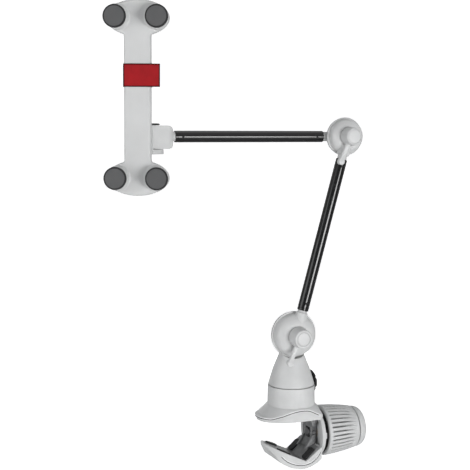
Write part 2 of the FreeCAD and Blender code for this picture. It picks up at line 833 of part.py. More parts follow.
def clamp_knob():
    """Ribbed barrel knob: widest near the jaw, tapering to the cap."""
    start = size("ring_start") + size("ring_thick") + size("washer_thick") + size("joint_gap")
    knob = screw_line.shift(start, 0, 0)
    body = new_body("clamp_knob", knob)
    bore = size("bush_radius") + size("turning_fit")
    bush_in = size("bush_reach") - start + 0.5
    nut_end = bush_in + size("nut_long")
    nut_bore = size("nut_radius") + size("seat_fit")
    long = size("knob_long")
    wide = size("knob_radius")
    waist = size("knob_waist_radius")
    section = new_sketch(body, "XZ")
    outline(section, [(0, bore), (0, wide - 1.6), (0.6, wide - 0.5), (2.0, wide),
                      (long * 0.52, wide - 1.55), (long - 1.6, waist), (long - 1.6, waist - 1.6),
                      (long, waist - 1.6), (long, size("rod_radius") + 1.5),
                      (nut_end, size("rod_radius") + 1.5), (nut_end, nut_bore), (bush_in, nut_bore),
                      (bush_in, bore)])
    revolve(body, "Revolution", section, "H_Axis")
    half = size("groove_wide") / 2
    floor = size("groove_floor")
    groove = new_sketch(body, "YZ", 2.6)
    outline(groove, [(-half, floor), (half, floor), (half, wide + 2), (-half, wide + 2)])
    cut = extrude(body, "Pocket", groove, long - 6.0, backwards=True)
    around(body, cut, "X", size("groove_count"))

    cap = size("cap_radius")
    cap_long = size("cap_long")
    turned_piece("knob_end_cap", knob.shift(long, 0, 0), [
        (0, 0), (0, cap - 1.0), (0.5, cap), (2.6, cap),
        (cap_long * 0.72, cap - 1.9), (cap_long, cap - 6.5), (cap_long - 0.9, cap - 8.5),
        (cap_long - 0.9, 0)])
    turned_piece("knob_nut", knob, [
        (bush_in + 0.1, size("rod_radius") + size("turning_fit")), (bush_in + 0.1, size("nut_radius")),
        (nut_end, size("nut_radius")), (nut_end, size("rod_radius") + size("turning_fit"))])


def drum_profile(radius, deep, hub, side):
    """Half section of half an elbow, from the split plane out to its flat end, on one side."""
    start = split_front if side < 0 else split_rear
    rim = size("drum_rim")
    end = -size("split_ahead") + side * deep
    first = start + side * rim
    run = end - first
    rise = radius - hub
    rim_line = [(start, 0), (start, radius - 0.7), (start + side * 0.9, radius), (first, radius)]
    dome = [(first + run * along, hub + rise * out)
            for along, out in ((0.34, 0.85), (0.62, 0.62), (0.85, 0.33), (1, 0))]
    return rim_line + dome + [(end, 0)]


def neck_shell():
    """Cone that turns on the clamp's foot, in one with the rear half of the base elbow."""
    body = new_body("neck_shell", neck)
    low = -neck_foot
    bore = size("post_radius") + size("seat_fit")
    cone = new_sketch(body, "XZ")
    outline(cone, [(0, low), (size("foot_top_radius"), low),
                   (size("neck_mid_radius"), -size("neck_mid_below")),
                   (size("neck_top_radius"), -size("neck_top_below")),
                   (size("neck_top_radius") - 1.0, -6), (0, -6)])
    revolve(body, "Revolution", cone, "V_Axis")
    clear = size("base_drum_radius") + 0.9
    round_bar(body, "Subtractive", clear, 60, "-y", 0, split_rear, 0)
    rear = new_sketch(body, "YZ")
    outline(rear, drum_profile(size("base_drum_radius"), size("base_drum_deep"),
                               size("base_boss_radius"), 1))
    revolve(body, "Revolution", rear, "H_Axis")
    round_bar(body, "Subtractive", bore, neck_foot - size("neck_bore_top") + 1, "z", 0, 0, low - 1)
    round_bar(body, "Subtractive", size("stud_radius") + size("seat_fit"), 60, "y", 0, -30, 0)
    return body


def elbow_stud(label, frame, deep, boss_long):
    """Stud with its head on the rear half, reaching into the lever's boss."""
    rear = -size("split_ahead") + deep
    front = -size("split_ahead") - deep - boss_long + 5
    radius = size("stud_radius")
    turned_piece(label, frame, [(front, 0), (front, radius), (rear, radius), (rear, radius + 2.6),
                                (rear + 2.2, radius + 2.2), (rear + 2.2, 0)], plane="YZ")


def friction_disc(label, frame, radius):
    """Thin disc that fills most of the split."""
    half = size("split_gap") / 2 - 0.03
    middle = -size("split_ahead")
    bore = size("stud_radius") + size("seat_fit")
    turned_piece(label, frame, [(middle - half, bore), (middle - half, radius), (middle + half, radius),
                                (middle + half, bore)], plane="YZ")


def lock_knob():
    """Black knob at the back of the foot. Its screw's tip sits in the post's groove."""
    out = size("lock_boss_out") + size("joint_gap")
    place = clamp.turn("z", size("lock_bearing")).shift(out, 0, size("lock_rise"))
    radius = size("lock_knob_radius")
    thick = size("lock_knob_thick")
    body = new_body("pan_lock_knob", place)
    section = new_sketch(body, "XZ")
    outline(section, [(0, 0), (0, radius - 1.0), (0.7, radius), (thick - 1.0, radius),
                      (thick, radius - 1.4), (thick, 0)])
    revolve(body, "Revolution", section, "H_Axis")
    notch = round_bar(body, "Subtractive", 1.6, thick + 2, "x", -1, radius + 0.6, 0)
    around(body, notch, "X", 9)
    inner = size("post_groove_radius") + 0.3
    tip = inner - size("lock_boss_out") - size("joint_gap")
    turned_piece("pan_lock_screw", place, [
        (tip, 0), (tip, size("lock_screw_radius") - 0.5), (tip + 0.5, size("lock_screw_radius")),
        (0, size("lock_screw_radius")), (0, 0)])


def front_drum(label, frame, radius, deep, hub, collar_long, towards):
    """Front half of an elbow with the plug that the lower tube slides over."""
    body = new_body(label, frame)
    half = new_sketch(body, "YZ")
    outline(half, drum_profile(radius, deep, hub, -1))
    revolve(body, "Revolution", half, "H_Axis")
    tube_plug(body, radius, collar_long, towards, lower_layer)
    round_bar(body, "Subtractive", size("stud_radius") + size("turning_fit"), 60, "y", 0, -40, 0)
    return body


def tube_plug(body, radius, collar_long, towards, layer, thickness=None):
    """Neck and plug at a tube's end: a short visible collar, then the plug inside the tube."""
    aim = "z" if towards > 0 else "-z"
    start = radius * 0.55
    face = radius + collar_long
    round_bar(body, "Additive", size("collar_radius"), face - start, aim, 0, layer, towards * start)
    inside = size("tube_radius") - size("tube_wall") - size("seat_fit")
    round_bar(body, "Additive", inside, size("spigot_long"), aim, 0, layer, towards * face)
    round_bar(body, "Subtractive", size("pin_radius") + size("seat_fit"), 20, "y", 0, layer - 10,
              towards * (face + size("pin_inset")))


def tube(label, frame, layer, start, end):
    """Round tube with cross holes for its pins near both ends."""
    body = new_body(label, frame)
    wall = new_sketch(body, "XY", start)
    ring(wall, 0, layer, size("tube_radius"))
    ring(wall, 0, layer, size("tube_radius") - size("tube_wall"))
    extrude(body, "Pad", wall, end - start)
    for place in (start + size("pin_inset"), end - size("pin_inset")):
        round_bar(body, "Subtractive", size("pin_radius") + size("seat_fit"), 20, "y", 0, layer - 10, place)
    radius = size("tube_radius")
    group(label + "_pins", frame, [
        free_bar(size("pin_radius"), radius * 2 - 0.2, "y", 0, layer - radius + 0.1, place)
        for place in (start + size("pin_inset"), end - size("pin_inset"))])
    return body


def lock_lever(label, frame, boss_radius, boss_long, deep):
    """Boss on the elbow's axis with a slim lever that ends in a flat round bulb."""
    root = -size("split_ahead") - deep - size("joint_gap")
    front = root - boss_long
    slim = boss_radius * size("boss_taper")
    place = frame.turn("y", size("lever_angle"))
    body = new_body(label, place)
    section = new_sketch(body, "YZ")
    outline(section, [(root, 0), (root, boss_radius), (front + 1.0, slim), (front, slim - 0.9),
                      (front, size("boss_cap_radius")),
                      (front + size("boss_cap_thick"), size("boss_cap_radius")),
                      (front + size("boss_cap_thick"), 0)])
    revolve(body, "Revolution", section, "H_Axis")
    wide = size("lever_wide")
    reach = size("lever_long") - wide / 2
    lift = root - size("lever_lift")
    paddle = new_sketch(body, "XZ", -lift)
    stem = size("lever_stem_wide") / 2
    outline(paddle, [(-stem, 0), (-stem, -reach + wide * 0.7), (-wide / 2, -reach),
                     (0, -size("lever_long"), wide / 2, -reach), (stem, -reach + wide * 0.7), (stem, 0)])
    extrude(body, "Pad", paddle, size("lever_thick"))
    rib = new_sketch(body, "XZ", -lift + size("lever_thick"))
    slim_rib = stem * 0.55
    outline(rib, [(-slim_rib, 0), (-slim_rib, -reach + 1), (0, -reach - 0.8, slim_rib, -reach + 1),
                  (slim_rib, 0)])
    extrude(body, "Pad", rib, 1.1)
    bore_long = boss_long - 4
    round_bar(body, "Subtractive", size("stud_radius") + size("turning_fit"), bore_long + 1, "-y",
              0, root + 1, 0)
    turned_piece(label.replace("lock_lever", "lever_cap"), place, [
        (front + 0.3, 0), (front + 0.3, size("boss_cap_radius") - size("seat_fit")),
        (front + size("boss_cap_thick"), size("boss_cap_radius") - size("seat_fit")),
        (front + size("boss_cap_thick"), 0)], plane="YZ")
    return body


def top_drum_rear():
    body = new_body("top_drum_rear", upper_arm)
    half = new_sketch(body, "YZ")
    radius = size("top_drum_radius")
    outline(half, drum_profile(radius, size("top_drum_deep"), size("top_boss_radius"), 1))
    revolve(body, "Revolution", half, "H_Axis")
    tube_plug(body, radius, size("upper_collar_long"), 1, upper_layer)
    round_bar(body, "Subtractive", size("stud_radius") + size("seat_fit"), 60, "y", 0, -30, 0)
    return body


def swing_knuckle():
    """Rounded block at the end of the upper arm, on the swing pin."""
    body = new_body("swing_knuckle", upper_end)
    radius = size("knuckle_radius")
    long = size("knuckle_long")
    half = radius - 1.5
    plan = new_sketch(body, "YZ", -size("knuckle_below"))
    outline(plan, [(half, -radius * 0.5), (0, radius, -half, -radius * 0.5), (-half, -long), (half, -long)])
    barrel = extrude(body, "Pad", plan, size("knuckle_below") + size("knuckle_above"))
    soften(body, barrel, size("knuckle_round"),
           lambda edge: max(v.Z for v in edge.Vertexes) < -SIZES["knuckle_long"] + 0.01)
    face = long + size("head_collar_long")
    round_bar(body, "Additive", size("collar_radius"), size("head_collar_long") + 4, "-z", 0, 0, -long + 4)
    inside = size("tube_radius") - size("tube_wall") - size("seat_fit")
    round_bar(body, "Additive", inside, size("spigot_long"), "-z", 0, 0, -face)
    round_bar(body, "Subtractive", size("pin_radius") + size("seat_fit"), 20, "y",
              0, -10, -face - size("pin_inset"))
    round_bar(body, "Subtractive", size("swing_pin_radius") + size("turning_fit"), 60, "x", -30, 0, 0)
    return body


def swing_bracket():
    """Disc under the knuckle with a web up its front and two cheeks for the tilt pin."""
    body = new_body("swing_bracket", swing)
    top = -size("knuckle_below") - size("joint_gap")
    low = top - size("swing_disc_thick")
    disc = ring(new_sketch(body, "XY", low), 0, 0, size("swing_disc_radius"))
    extrude(body, "Pad", disc, size("swing_disc_thick"))
    back = -size("knuckle_radius") - 1.0
    wide = size("web_half_width")
    high = size("knuckle_above")
    block(body, "Additive", (-wide, wide), (-size("web_front"), back), (low, high))
    tilt_y = -size("tilt_ahead")
    cheek_in = size("tilt_half_width") + size("joint_gap")
    cheek_out = cheek_in + size("cheek_thick")
    eye = size("tilt_radius")
    cheek = new_sketch(body, "YZ")
    outline(cheek, [(back - 1, eye + 3), (tilt_y, eye), (tilt_y - eye, 0, tilt_y, -eye),
                    (back - 1, -eye - 3)])
    extrude(body, "Pad", cheek, cheek_out * 2, both_ways=True)
    block(body, "Subtractive", (-cheek_in, cheek_in), (tilt_y - eye - 1, -size("web_front")),
          (-eye - 4, eye + 4))
    round_bar(body, "Subtractive", size("tilt_pin_radius") + size("seat_fit"), 60, "x", -30, tilt_y, 0)
    round_bar(body, "Subtractive", size("swing_pin_radius") + size("seat_fit"), 30, "z", 0, 0, low - 1)
    return body


def swing_parts():
    low = -size("knuckle_below") - size("joint_gap") - size("swing_disc_thick")
    top = size("knuckle_above") + size("joint_gap")
    radius = size("swing_pin_radius")
    turned_piece("swing_pin", swing, [(0, low - 1.2), (radius + 2, low - 1.2), (radius + 2, low),
                                      (radius, low), (radius, top - 0.15), (0, top - 0.15)], axis="V_Axis")
    knob = size("swing_knob_radius")
    thick = size("swing_knob_thick")
    body = new_body("swing_lock_knob", swing)
    section = new_sketch(body, "XZ")
    outline(section, [(0, top), (knob - 0.8, top), (knob, top + 0.6), (knob, top + thick - 0.6),
                      (knob - 0.8, top + thick), (0, top + thick)])
    revolve(body, "Revolution", section, "V_Axis")
    notch = round_bar(body, "Subtractive", 1.5, thick + 2, "z", knob + 0.7, 0, top - 1)
    around(body, notch, "Z", 12)


def tilt_block():
    body = new_body("tilt_block", tilt)
    half = size("tilt_half_width")
    eye = size("tilt_radius")
    face = -size("tilt_disc_ahead")
    round_bar(body, "Additive", eye, half * 2, "x", -half, 0, 0)
    block(body, "Additive", (-half, half), (face - 1, as_size(0)), (-eye + 0.6, eye - 0.6))
    disc = ring(new_sketch(body, "XZ", -face), 0, 0, size("tilt_disc_radius"))
    extrude(body, "Pad", disc, size("tilt_disc_thick"))
    round_bar(body, "Subtractive", size("tilt_pin_radius") + size("turning_fit"), 60, "x", -30, 0, 0)
    round_bar(body, "Subtractive", size("spin_screw_radius") + size("seat_fit"),
              size("tilt_disc_thick") + 3.8, "y", 0, face - size("tilt_disc_thick") - 1, 0)
    pin_long = (half + size("joint_gap") + size("cheek_thick")) * 2
    group("tilt_pin", tilt, [free_bar(size("tilt_pin_radius"), pin_long, "x", -pin_long / 2, 0, 0)])
    return body


def holder_plate():
    """Dog-bone plate, open at the back, with four raised sockets on its face."""
    body = new_body("holder_plate", plate)
    thick = size("plate_thick")
    half = size("lobe_spacing") / 2
    lift = size("plate_lift")
    spine = size("spine_wide") / 2
    bar = new_sketch(body, "XZ")
    outline(bar, [(-spine, lift - half), (spine, lift - half), (spine, lift + half), (-spine, lift + half)])
    extrude(body, "Pad", bar, thick)
    for side in (-1, 1):
        end = new_sketch(body, "XZ")
        oval(end, 0, lift + side * half, size("lobe_half_wide"), size("lobe_half_high"))
        extrude(body, "Pad", end, thick)
    across = size("pad_across") / 2
    for x_side in (-1, 1):
        for z_side in (-1, 1):
            cup = body.newObject("PartDesign::AdditiveCone", "socket")
            bind(cup, "Radius1", size("socket_base_radius"))
            bind(cup, "Radius2", size("socket_radius"))
            bind(cup, "Height", size("socket_high") + thick * 0.5)
            put(cup, Frame().shift(x_side * across, -thick * 0.5, lift + z_side * half).turn("x", 90))
            seat_y = -thick - size("socket_high") + size("pad_sink")
            round_bar(body, "Subtractive", size("pad_radius") - 0.7, size("pad_sink") + 1, "-y",
                      x_side * across, seat_y, lift + z_side * half)
    wall = size("plate_wall")
    floor = thick - wall
    channel = spine - wall
    block(body, "Subtractive", (-channel, channel), (-floor, as_size(1)), (lift - half, lift + half))
    block(body, "Subtractive", (-channel - 1, channel + 1), (-size("cover_thick"), as_size(1)),
          (lift - half - 1, lift + half + 1))
    flange = size("spin_flange_radius")
    round_bar(body, "Additive", flange + 2.2, floor - size("cover_thick") + 0.5, "-y",
              0, -size("cover_thick"), 0)
    round_bar(body, "Subtractive", flange + size("joint_gap"), size("spin_flange_thick") + 0.4, "-y",
              0, -size("cover_thick"), 0)
    round_bar(body, "Subtractive", size("spin_screw_radius") + size("turning_fit"), 6, "-y", 0, 0, 0)
    for place in screw_heights():
        round_bar(body, "Additive", 3.4, floor, "-y", 0, -size("cover_thick"), place)
        round_bar(body, "Subtractive", 1.3, 5.5, "-y", 0, -size("cover_thick") + 0.1, place)
    return body


def screw_heights():
    half = size("lobe_spacing") / 2
    lift = size("plate_lift")
    return (lift - half + 10, lift - half * 0.05, lift + half - 10)


def plate_small_parts():
    half = size("lobe_spacing") / 2
    lift = size("plate_lift")
    channel = size("spine_wide") / 2 - size("plate_wall") + 1 - size("seat_fit")
    cover = new_body("plate_back_cover", plate)
    sheet_plan = new_sketch(cover, "XZ")
    tall = half + 1 - size("seat_fit")
    outline(sheet_plan, [(-channel, lift - tall), (channel, lift - tall), (channel, lift + tall),
                         (-channel, lift + tall)])
    extrude(cover, "Pad", sheet_plan, size("cover_thick"))
    round_bar(cover, "Subtractive", size("spin_screw_radius") + size("turning_fit"), 6, "-y", 0, 1, 0)
    for place in screw_heights():
        round_bar(cover, "Subtractive", 1.7, 6, "-y", 0, 1, place)
    members = []
    for place in screw_heights():
        members.append(free_bar(1.28, 6.0, "-y", 0, 0.0, place))
    group("plate_screws", plate, members)
    radius = size("spin_screw_radius")
    flange = size("spin_flange_radius")
    back = -size("cover_thick") - 0.2
    front = back - size("spin_flange_thick")
    turned_piece("spin_hub_screw", plate, [
        (-5.5, 0), (-5.5, radius), (front, radius), (front, flange), (back, flange), (back, radius),
        (plate_back + 2.6, radius), (plate_back + 2.6, 0)], plane="YZ")


def grip_pads():
    half = size("lobe_spacing") / 2
    lift = size("plate_lift")
    across = size("pad_across") / 2
    thick = size("plate_thick")
    base = -thick - size("socket_high") + size("pad_sink") - size("seat_fit")
    radius = size("pad_radius")
    high = size("pad_high")
    shelf = size("pad_sink")
    for x_side, x_word in ((-1, "left"), (1, "right")):
        for z_side, z_word in ((-1, "bottom"), (1, "top")):
            place = plate.shift(x_side * across, base, lift + z_side * half)
            turned_piece("grip_pad_%s_%s" % (z_word, x_word), place, [
                (0, 0), (0, radius - 0.75), (-shelf, radius - 0.75), (-shelf, radius),
                (-high + 0.8, radius), (-high, radius - 0.8), (-high, 0)], plane="YZ")


def red_band():
    """Flat band round the spine, its free end standing out to the right."""
    body = new_body("red_band", plate)
    gap = 0.06
    spine = size("spine_wide") / 2 + gap
    thick = size("band_thick")
    front = -size("plate_thick") - gap
    back = as_size(gap)
    low = size("plate_lift") + size("band_lift") - size("band_high") / 2
    outer = new_sketch(body, "XY", low)
    outline(outer, [(-spine - thick, front - thick), (spine + size("band_tab"), front - thick),
                    (spine + size("band_tab"), front), (spine + thick, front),
                    (spine + thick, back + thick), (-spine - thick, back + thick)])
    outline(outer, [(-spine, front), (spine, front), (spine, back), (-spine, back)])
    extrude(body, "Pad", outer, size("band_high"))
    return body


upper_jaw()
upper_jaw_pads()
pivot_bracket()
pan_post()
clamp_small_parts()
jaw_shell()
jaw_frame()
jaw_pads()
draw_rod()
clamp_knob()
neck_shell()
friction_disc("base_friction_disc", neck, size("base_drum_radius") - 1.2)
elbow_stud("base_elbow_stud", neck, size("base_drum_deep"), size("base_boss_long"))
lock_knob()
lock_lever("base_lock_lever", neck, size("base_boss_radius"), size("base_boss_long"),
           size("base_drum_deep"))
front_drum("base_drum_front", lower_arm, size("base_drum_radius"), size("base_drum_deep"),
           size("base_boss_radius"), size("base_collar_long"), 1)
front_drum("top_drum_front", top_elbow, size("top_drum_radius"), size("top_drum_deep"),
           size("top_boss_radius"), size("top_collar_long"), -1)
tube("lower_tube", lower_arm, lower_layer, size("base_drum_radius") + size("base_collar_long"),
     size("lower_reach") - size("top_drum_radius") - size("top_collar_long"))
friction_disc("top_friction_disc", upper_arm, size("top_drum_radius") - 1.2)
elbow_stud("top_elbow_stud", upper_arm, size("top_drum_deep"), size("top_boss_long"))
lock_lever("top_lock_lever", top_elbow.turn("y", -size("lower_lean")), size("top_boss_radius"),
           size("top_boss_long"), size("top_drum_deep"))
top_drum_rear()
tube("upper_tube", upper_arm, upper_layer, size("top_drum_radius") + size("upper_collar_long"),
     size("upper_reach") - size("knuckle_long") - size("head_collar_long"))
swing_knuckle()
swing_bracket()
swing_parts()
tilt_block()
holder_plate()
plate_small_parts()
grip_pads()
red_band()

doc.recompute()
faults = [item.Name for item in doc.Objects if "Invalid" in item.State or "Error" in item.State]
faults += [item.Label for item in parts if item.Shape.isNull() or not item.Shape.isValid()]
if faults:
    raise SystemExit("not built: " + ", ".join(faults))
os.makedirs("parts", exist_ok=True)
for item in parts:
    item.Shape.exportStep("parts/%s.step" % item.Label)
    print("%-26s %9.1f mm3  %d solids" % (item.Label, item.Shape.Volume, len(item.Shape.Solids)))
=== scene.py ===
import json
import math

import bmesh
import bpy
from mathutils import Matrix, Vector


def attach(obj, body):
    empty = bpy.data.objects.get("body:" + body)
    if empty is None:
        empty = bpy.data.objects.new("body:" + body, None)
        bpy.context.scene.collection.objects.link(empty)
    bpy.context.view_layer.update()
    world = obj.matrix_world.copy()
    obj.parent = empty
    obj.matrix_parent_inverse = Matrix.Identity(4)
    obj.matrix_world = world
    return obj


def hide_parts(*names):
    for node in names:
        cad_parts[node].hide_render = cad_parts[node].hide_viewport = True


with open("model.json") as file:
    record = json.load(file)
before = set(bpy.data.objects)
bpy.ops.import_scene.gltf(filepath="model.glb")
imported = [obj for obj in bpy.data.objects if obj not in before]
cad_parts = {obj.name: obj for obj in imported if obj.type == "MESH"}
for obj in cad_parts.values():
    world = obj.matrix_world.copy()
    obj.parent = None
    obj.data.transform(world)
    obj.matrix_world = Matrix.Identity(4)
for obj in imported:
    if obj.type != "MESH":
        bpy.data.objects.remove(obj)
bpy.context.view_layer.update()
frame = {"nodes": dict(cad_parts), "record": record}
cad = frame["nodes"]

# Clamp-on tablet and phone holder. Its lengths are in millimetres, which moved() and mesh_piece() turn into
# metres. The room, the camera and the lamps are in metres.
MM = 0.001
PER_METRE = 1000.0
scene = bpy.context.scene


# Places of the holder's joints, the same chain as the solids
def moved(x, y, z):
    return Matrix.Translation((x * MM, y * MM, z * MM))


def turned(axis, degrees):
    return Matrix.Rotation(math.radians(degrees), 4, axis)


LOWER_LEAN = 15.2
# Each tube's place across the arm's plane, less than 0 in front of it, and the depth of each elbow's front half
LOWER_LAYER, UPPER_LAYER = -13, 3
BASE_DEEP, TOP_DEEP = 15.0, 12.0
CLAMP = Matrix.Identity(4)
SCREW_LINE = CLAMP @ moved(0, 0, -18.8)
NECK = CLAMP @ turned("Z", -5) @ moved(0, 0, 87.2)
LOWER_ARM = NECK @ turned("Y", LOWER_LEAN)
TOP_ELBOW = LOWER_ARM @ moved(0, 0, 208.6)
UPPER_ARM = TOP_ELBOW @ turned("Y", -105.2)
UPPER_END = UPPER_ARM @ moved(0, UPPER_LAYER, 207.2)
SWING = UPPER_END @ turned("Y", 90) @ turned("Z", -21)
TILT = SWING @ moved(0, -24, 0)
SPIN = TILT @ moved(0, -6.8, 0)
PLATE = SPIN @ turned("Y", 0.4) @ moved(0, -3.3, 0)


# Camera and light
CAMERA_AIM = (-0.0608, 0.0053, 0.1905)
CAMERA_AZIMUTH, CAMERA_ELEVATION = -23, 5.65
SENSOR_WIDE, PICTURE_WIDE, FOCAL_LENGTH_IN_PIXELS = 36, 470, 1000
FLOOR_HEIGHT = -0.34


def set_camera():
    """Camera one metre from its aim."""
    azimuth, elevation = math.radians(CAMERA_AZIMUTH), math.radians(CAMERA_ELEVATION)
    aim = Vector(CAMERA_AIM)
    back = Vector((math.sin(azimuth) * math.cos(elevation), -math.cos(azimuth) * math.cos(elevation),
                   math.sin(elevation)))
    data = bpy.data.cameras.new("photo_camera")
    data.sensor_width = SENSOR_WIDE
    data.lens = FOCAL_LENGTH_IN_PIXELS / PICTURE_WIDE * SENSOR_WIDE
    data.clip_start = 0.05
    data.clip_end = 20
    camera = bpy.data.objects.new("photo_camera", data)
    scene.collection.objects.link(camera)
    camera.matrix_world = Matrix.Translation(aim + back) @ back.to_track_quat("Z", "Y").to_matrix().to_4x4()
    scene.camera = camera


def soft_lamp(name, place, aim, wide, high, power):
    data = bpy.data.lights.new(name, "AREA")
    data.shape = "ELLIPSE"
    data.size = wide
    data.size_y = high
    data.energy = power
    lamp = bpy.data.objects.new(name, data)
    lamp.location = place
    lamp.rotation_euler = (Vector(aim) - Vector(place)).to_track_quat("-Z", "Y").to_euler()
    scene.collection.objects.link(lamp)


def studio():
    """Soft light from all round, white where the camera or a reflection sees past the floor, and four lamps."""
    scene.view_settings.view_transform = "Standard"
    world = bpy.data.worlds.new("studio_air")
    world.use_nodes = True
    tree = world.node_tree
    tree.nodes.clear()
    ray = tree.nodes.new("ShaderNodeLightPath")
    seen = ray.outputs["Is Camera Ray"]
    for other in ("Is Glossy Ray", "Is Transmission Ray"):
        more = tree.nodes.new("ShaderNodeMath")
        more.operation = "MAXIMUM"
        tree.links.new(seen, more.inputs[0])
        tree.links.new(ray.outputs[other], more.inputs[1])
        seen = more.outputs[0]
    white = tree.nodes.new("ShaderNodeBackground")
    white.inputs["Strength"].default_value = 1.0
    dim = tree.nodes.new("ShaderNodeBackground")
    dim.inputs["Color"].default_value = (0.97, 0.985, 1.0, 1)
    where = tree.nodes.new("ShaderNodeTexCoord")
    height = tree.nodes.new("ShaderNodeSeparateXYZ")
    tree.links.new(where.outputs["Generated"], height.inputs[0])
    fade = tree.nodes.new("ShaderNodeMapRange")
    for label, value in (("From Min", -0.1), ("From Max", 0.9), ("To Min", 0.5), ("To Max", 0.2)):
        fade.inputs[label].default_value = value
    tree.links.new(height.outputs["Z"], fade.inputs["Value"])
    tree.links.new(fade.outputs[0], dim.inputs["Strength"])
    both = tree.nodes.new("ShaderNodeMixShader")
    out = tree.nodes.new("ShaderNodeOutputWorld")
    tree.links.new(seen, both.inputs[0])
    tree.links.new(dim.outputs[0], both.inputs[1])
    tree.links.new(white.outputs[0], both.inputs[2])
    tree.links.new(both.outputs[0], out.inputs[0])
    scene.world = world
    soft_lamp("front_window", (0.3, -1.7, 0.05), (-0.05, 0, 0.17), 0.8, 0.5, 16.5)
    soft_lamp("left_window", (-1.75, -0.3, 0.15), (-0.1, 0, 0.2), 1.4, 1.4, 12)
    soft_lamp("back_window", (0.5, 1.8, 0.1), (-0.05, 0, 0.2), 1.4, 1.4, 5)
    soft_lamp("ceiling_panel", (0.1, 0.2, 1.5), (-0.05, 0, 0.2), 1.2, 1.2, 2)


def floor_sheet():
    """Round pale floor whose far edge curves up into the backdrop."""
    mesh = bpy.data.meshes.new("floor_sheet")
    form = bmesh.new()
    around = 48
    angles = [k * math.pi / (around / 2) for k in range(around)]
    rings = ((1.2, FLOOR_HEIGHT), (2.4, FLOOR_HEIGHT), (3.0, -0.25), (3.3, 0.1), (3.4, 1.2))
    rows = [[form.verts.new((radius * math.cos(angle), radius * math.sin(angle), height)) for angle in angles]
            for radius, height in rings]
    middle = form.verts.new((0, 0, FLOOR_HEIGHT))
    for k in range(around):
        nxt = (k + 1) % around
        form.faces.new((middle, rows[0][k], rows[0][nxt]))
        for low, high in zip(rows, rows[1:]):
            form.faces.new((low[k], high[k], high[nxt], low[nxt]))
    form.to_mesh(mesh)
    form.free()
    mesh.polygons.foreach_set("use_smooth", [True] * len(mesh.polygons))
    floor = bpy.data.objects.new("floor_sheet", mesh)
    scene.collection.objects.link(floor)
    material = bpy.data.materials.new("pale_floor")
    material.use_nodes = True
    tree = material.node_tree
    shader = tree.nodes["Principled BSDF"]
    shader.inputs["Base Color"].default_value = (0.9, 0.9, 0.9, 1)
    shader.inputs["Roughness"].default_value = 0.8
    shader.inputs["Specular IOR Level"].default_value = 0.2
    ray = tree.nodes.new("ShaderNodeLightPath")
    glow = tree.nodes.new("ShaderNodeEmission")
    glow.inputs["Strength"].default_value = 0.72
    none = tree.nodes.new("ShaderNodeEmission")
    none.inputs["Strength"].default_value = 0.0
    switch = tree.nodes.new("ShaderNodeMixShader")
    tree.links.new(ray.outputs["Is Camera Ray"], switch.inputs[0])
    tree.links.new(none.outputs[0], switch.inputs[1])
    tree.links.new(glow.outputs[0], switch.inputs[2])
    total = tree.nodes.new("ShaderNodeAddShader")
    tree.links.new(shader.outputs[0], total.inputs[0])
    tree.links.new(switch.outputs[0], total.inputs[1])
    tree.links.new(total.outputs[0], tree.nodes["Material Output"].inputs["Surface"])
    mesh.materials.append(material)


# Finishes. Effects shared by several finishes are node groups.
class Tree:
    """Short words for adding and linking shader nodes."""

    def __init__(self, tree):
        self.tree = tree

    def add(self, kind, inputs=None, **settings):
        node = self.tree.nodes.new(kind)
        for name, value in settings.items():
            setattr(node, name, value)
        for name, value in (inputs or {}).items():
            if isinstance(value, bpy.types.NodeSocket):
                self.tree.links.new(value, node.inputs[name])
            else:
                node.inputs[name].default_value = value
        return node

    def math(self, operation, first, second, clamp=False):
        node = self.add("ShaderNodeMath", {0: first, 1: second}, operation=operation, use_clamp=clamp)
        return node.outputs[0]

    def span(self, value, low, high, out_low=0.0, out_high=1.0):
        return self.add("ShaderNodeMapRange", {"Value": value, "From Min": low, "From Max": high,
                                               "To Min": out_low, "To Max": out_high}).outputs[0]

    def blend(self, share, first, second, way="MIX"):
        node = self.add("ShaderNodeMix", data_type="RGBA", blend_type=way)
        for socket, value in ((node.inputs[0], share), (node.inputs[6], first), (node.inputs[7], second)):
            if isinstance(value, bpy.types.NodeSocket):
                self.tree.links.new(value, socket)
            else:
                socket.default_value = value
        return node.outputs[2]

    def noise(self, where, scale, detail=3.0, rough=0.55):
        return self.add("ShaderNodeTexNoise", {"Vector": where, "Scale": scale, "Detail": detail,
                                               "Roughness": rough}).outputs["Fac"]


def effect(name, inputs, outputs):
    """New shader node group with number inputs and outputs. Returns it with its two ends."""
    group = bpy.data.node_groups.new(name, "ShaderNodeTree")
    for label, value in inputs.items():
        socket = group.interface.new_socket(label, in_out="INPUT", socket_type="NodeSocketFloat")
        socket.default_value = value
    for label in outputs:
        group.interface.new_socket(label, in_out="OUTPUT", socket_type="NodeSocketFloat")
    tree = Tree(group)
    return group, tree, tree.add("NodeGroupInput"), tree.add("NodeGroupOutput")


def moulded_grain():
    """Fine spark-eroded grain of a mould, with slow flow marks, both by their size in millimetres."""
    group, tree, given, result = effect("moulded_grain", {"Grain": 0.35, "Flow": 18.0},
                                        ("Height", "Flow Marks"))
    where = tree.add("ShaderNodeTexCoord").outputs["Object"]
    fine = tree.math("DIVIDE", PER_METRE, given.outputs["Grain"])
    slow = tree.math("DIVIDE", PER_METRE, given.outputs["Flow"])
    height = tree.noise(where, fine, 2.0, 0.6)
    marks = tree.noise(where, slow, 4.0, 0.5)
    group.links.new(height, result.inputs["Height"])
    group.links.new(marks, result.inputs["Flow Marks"])
    return group


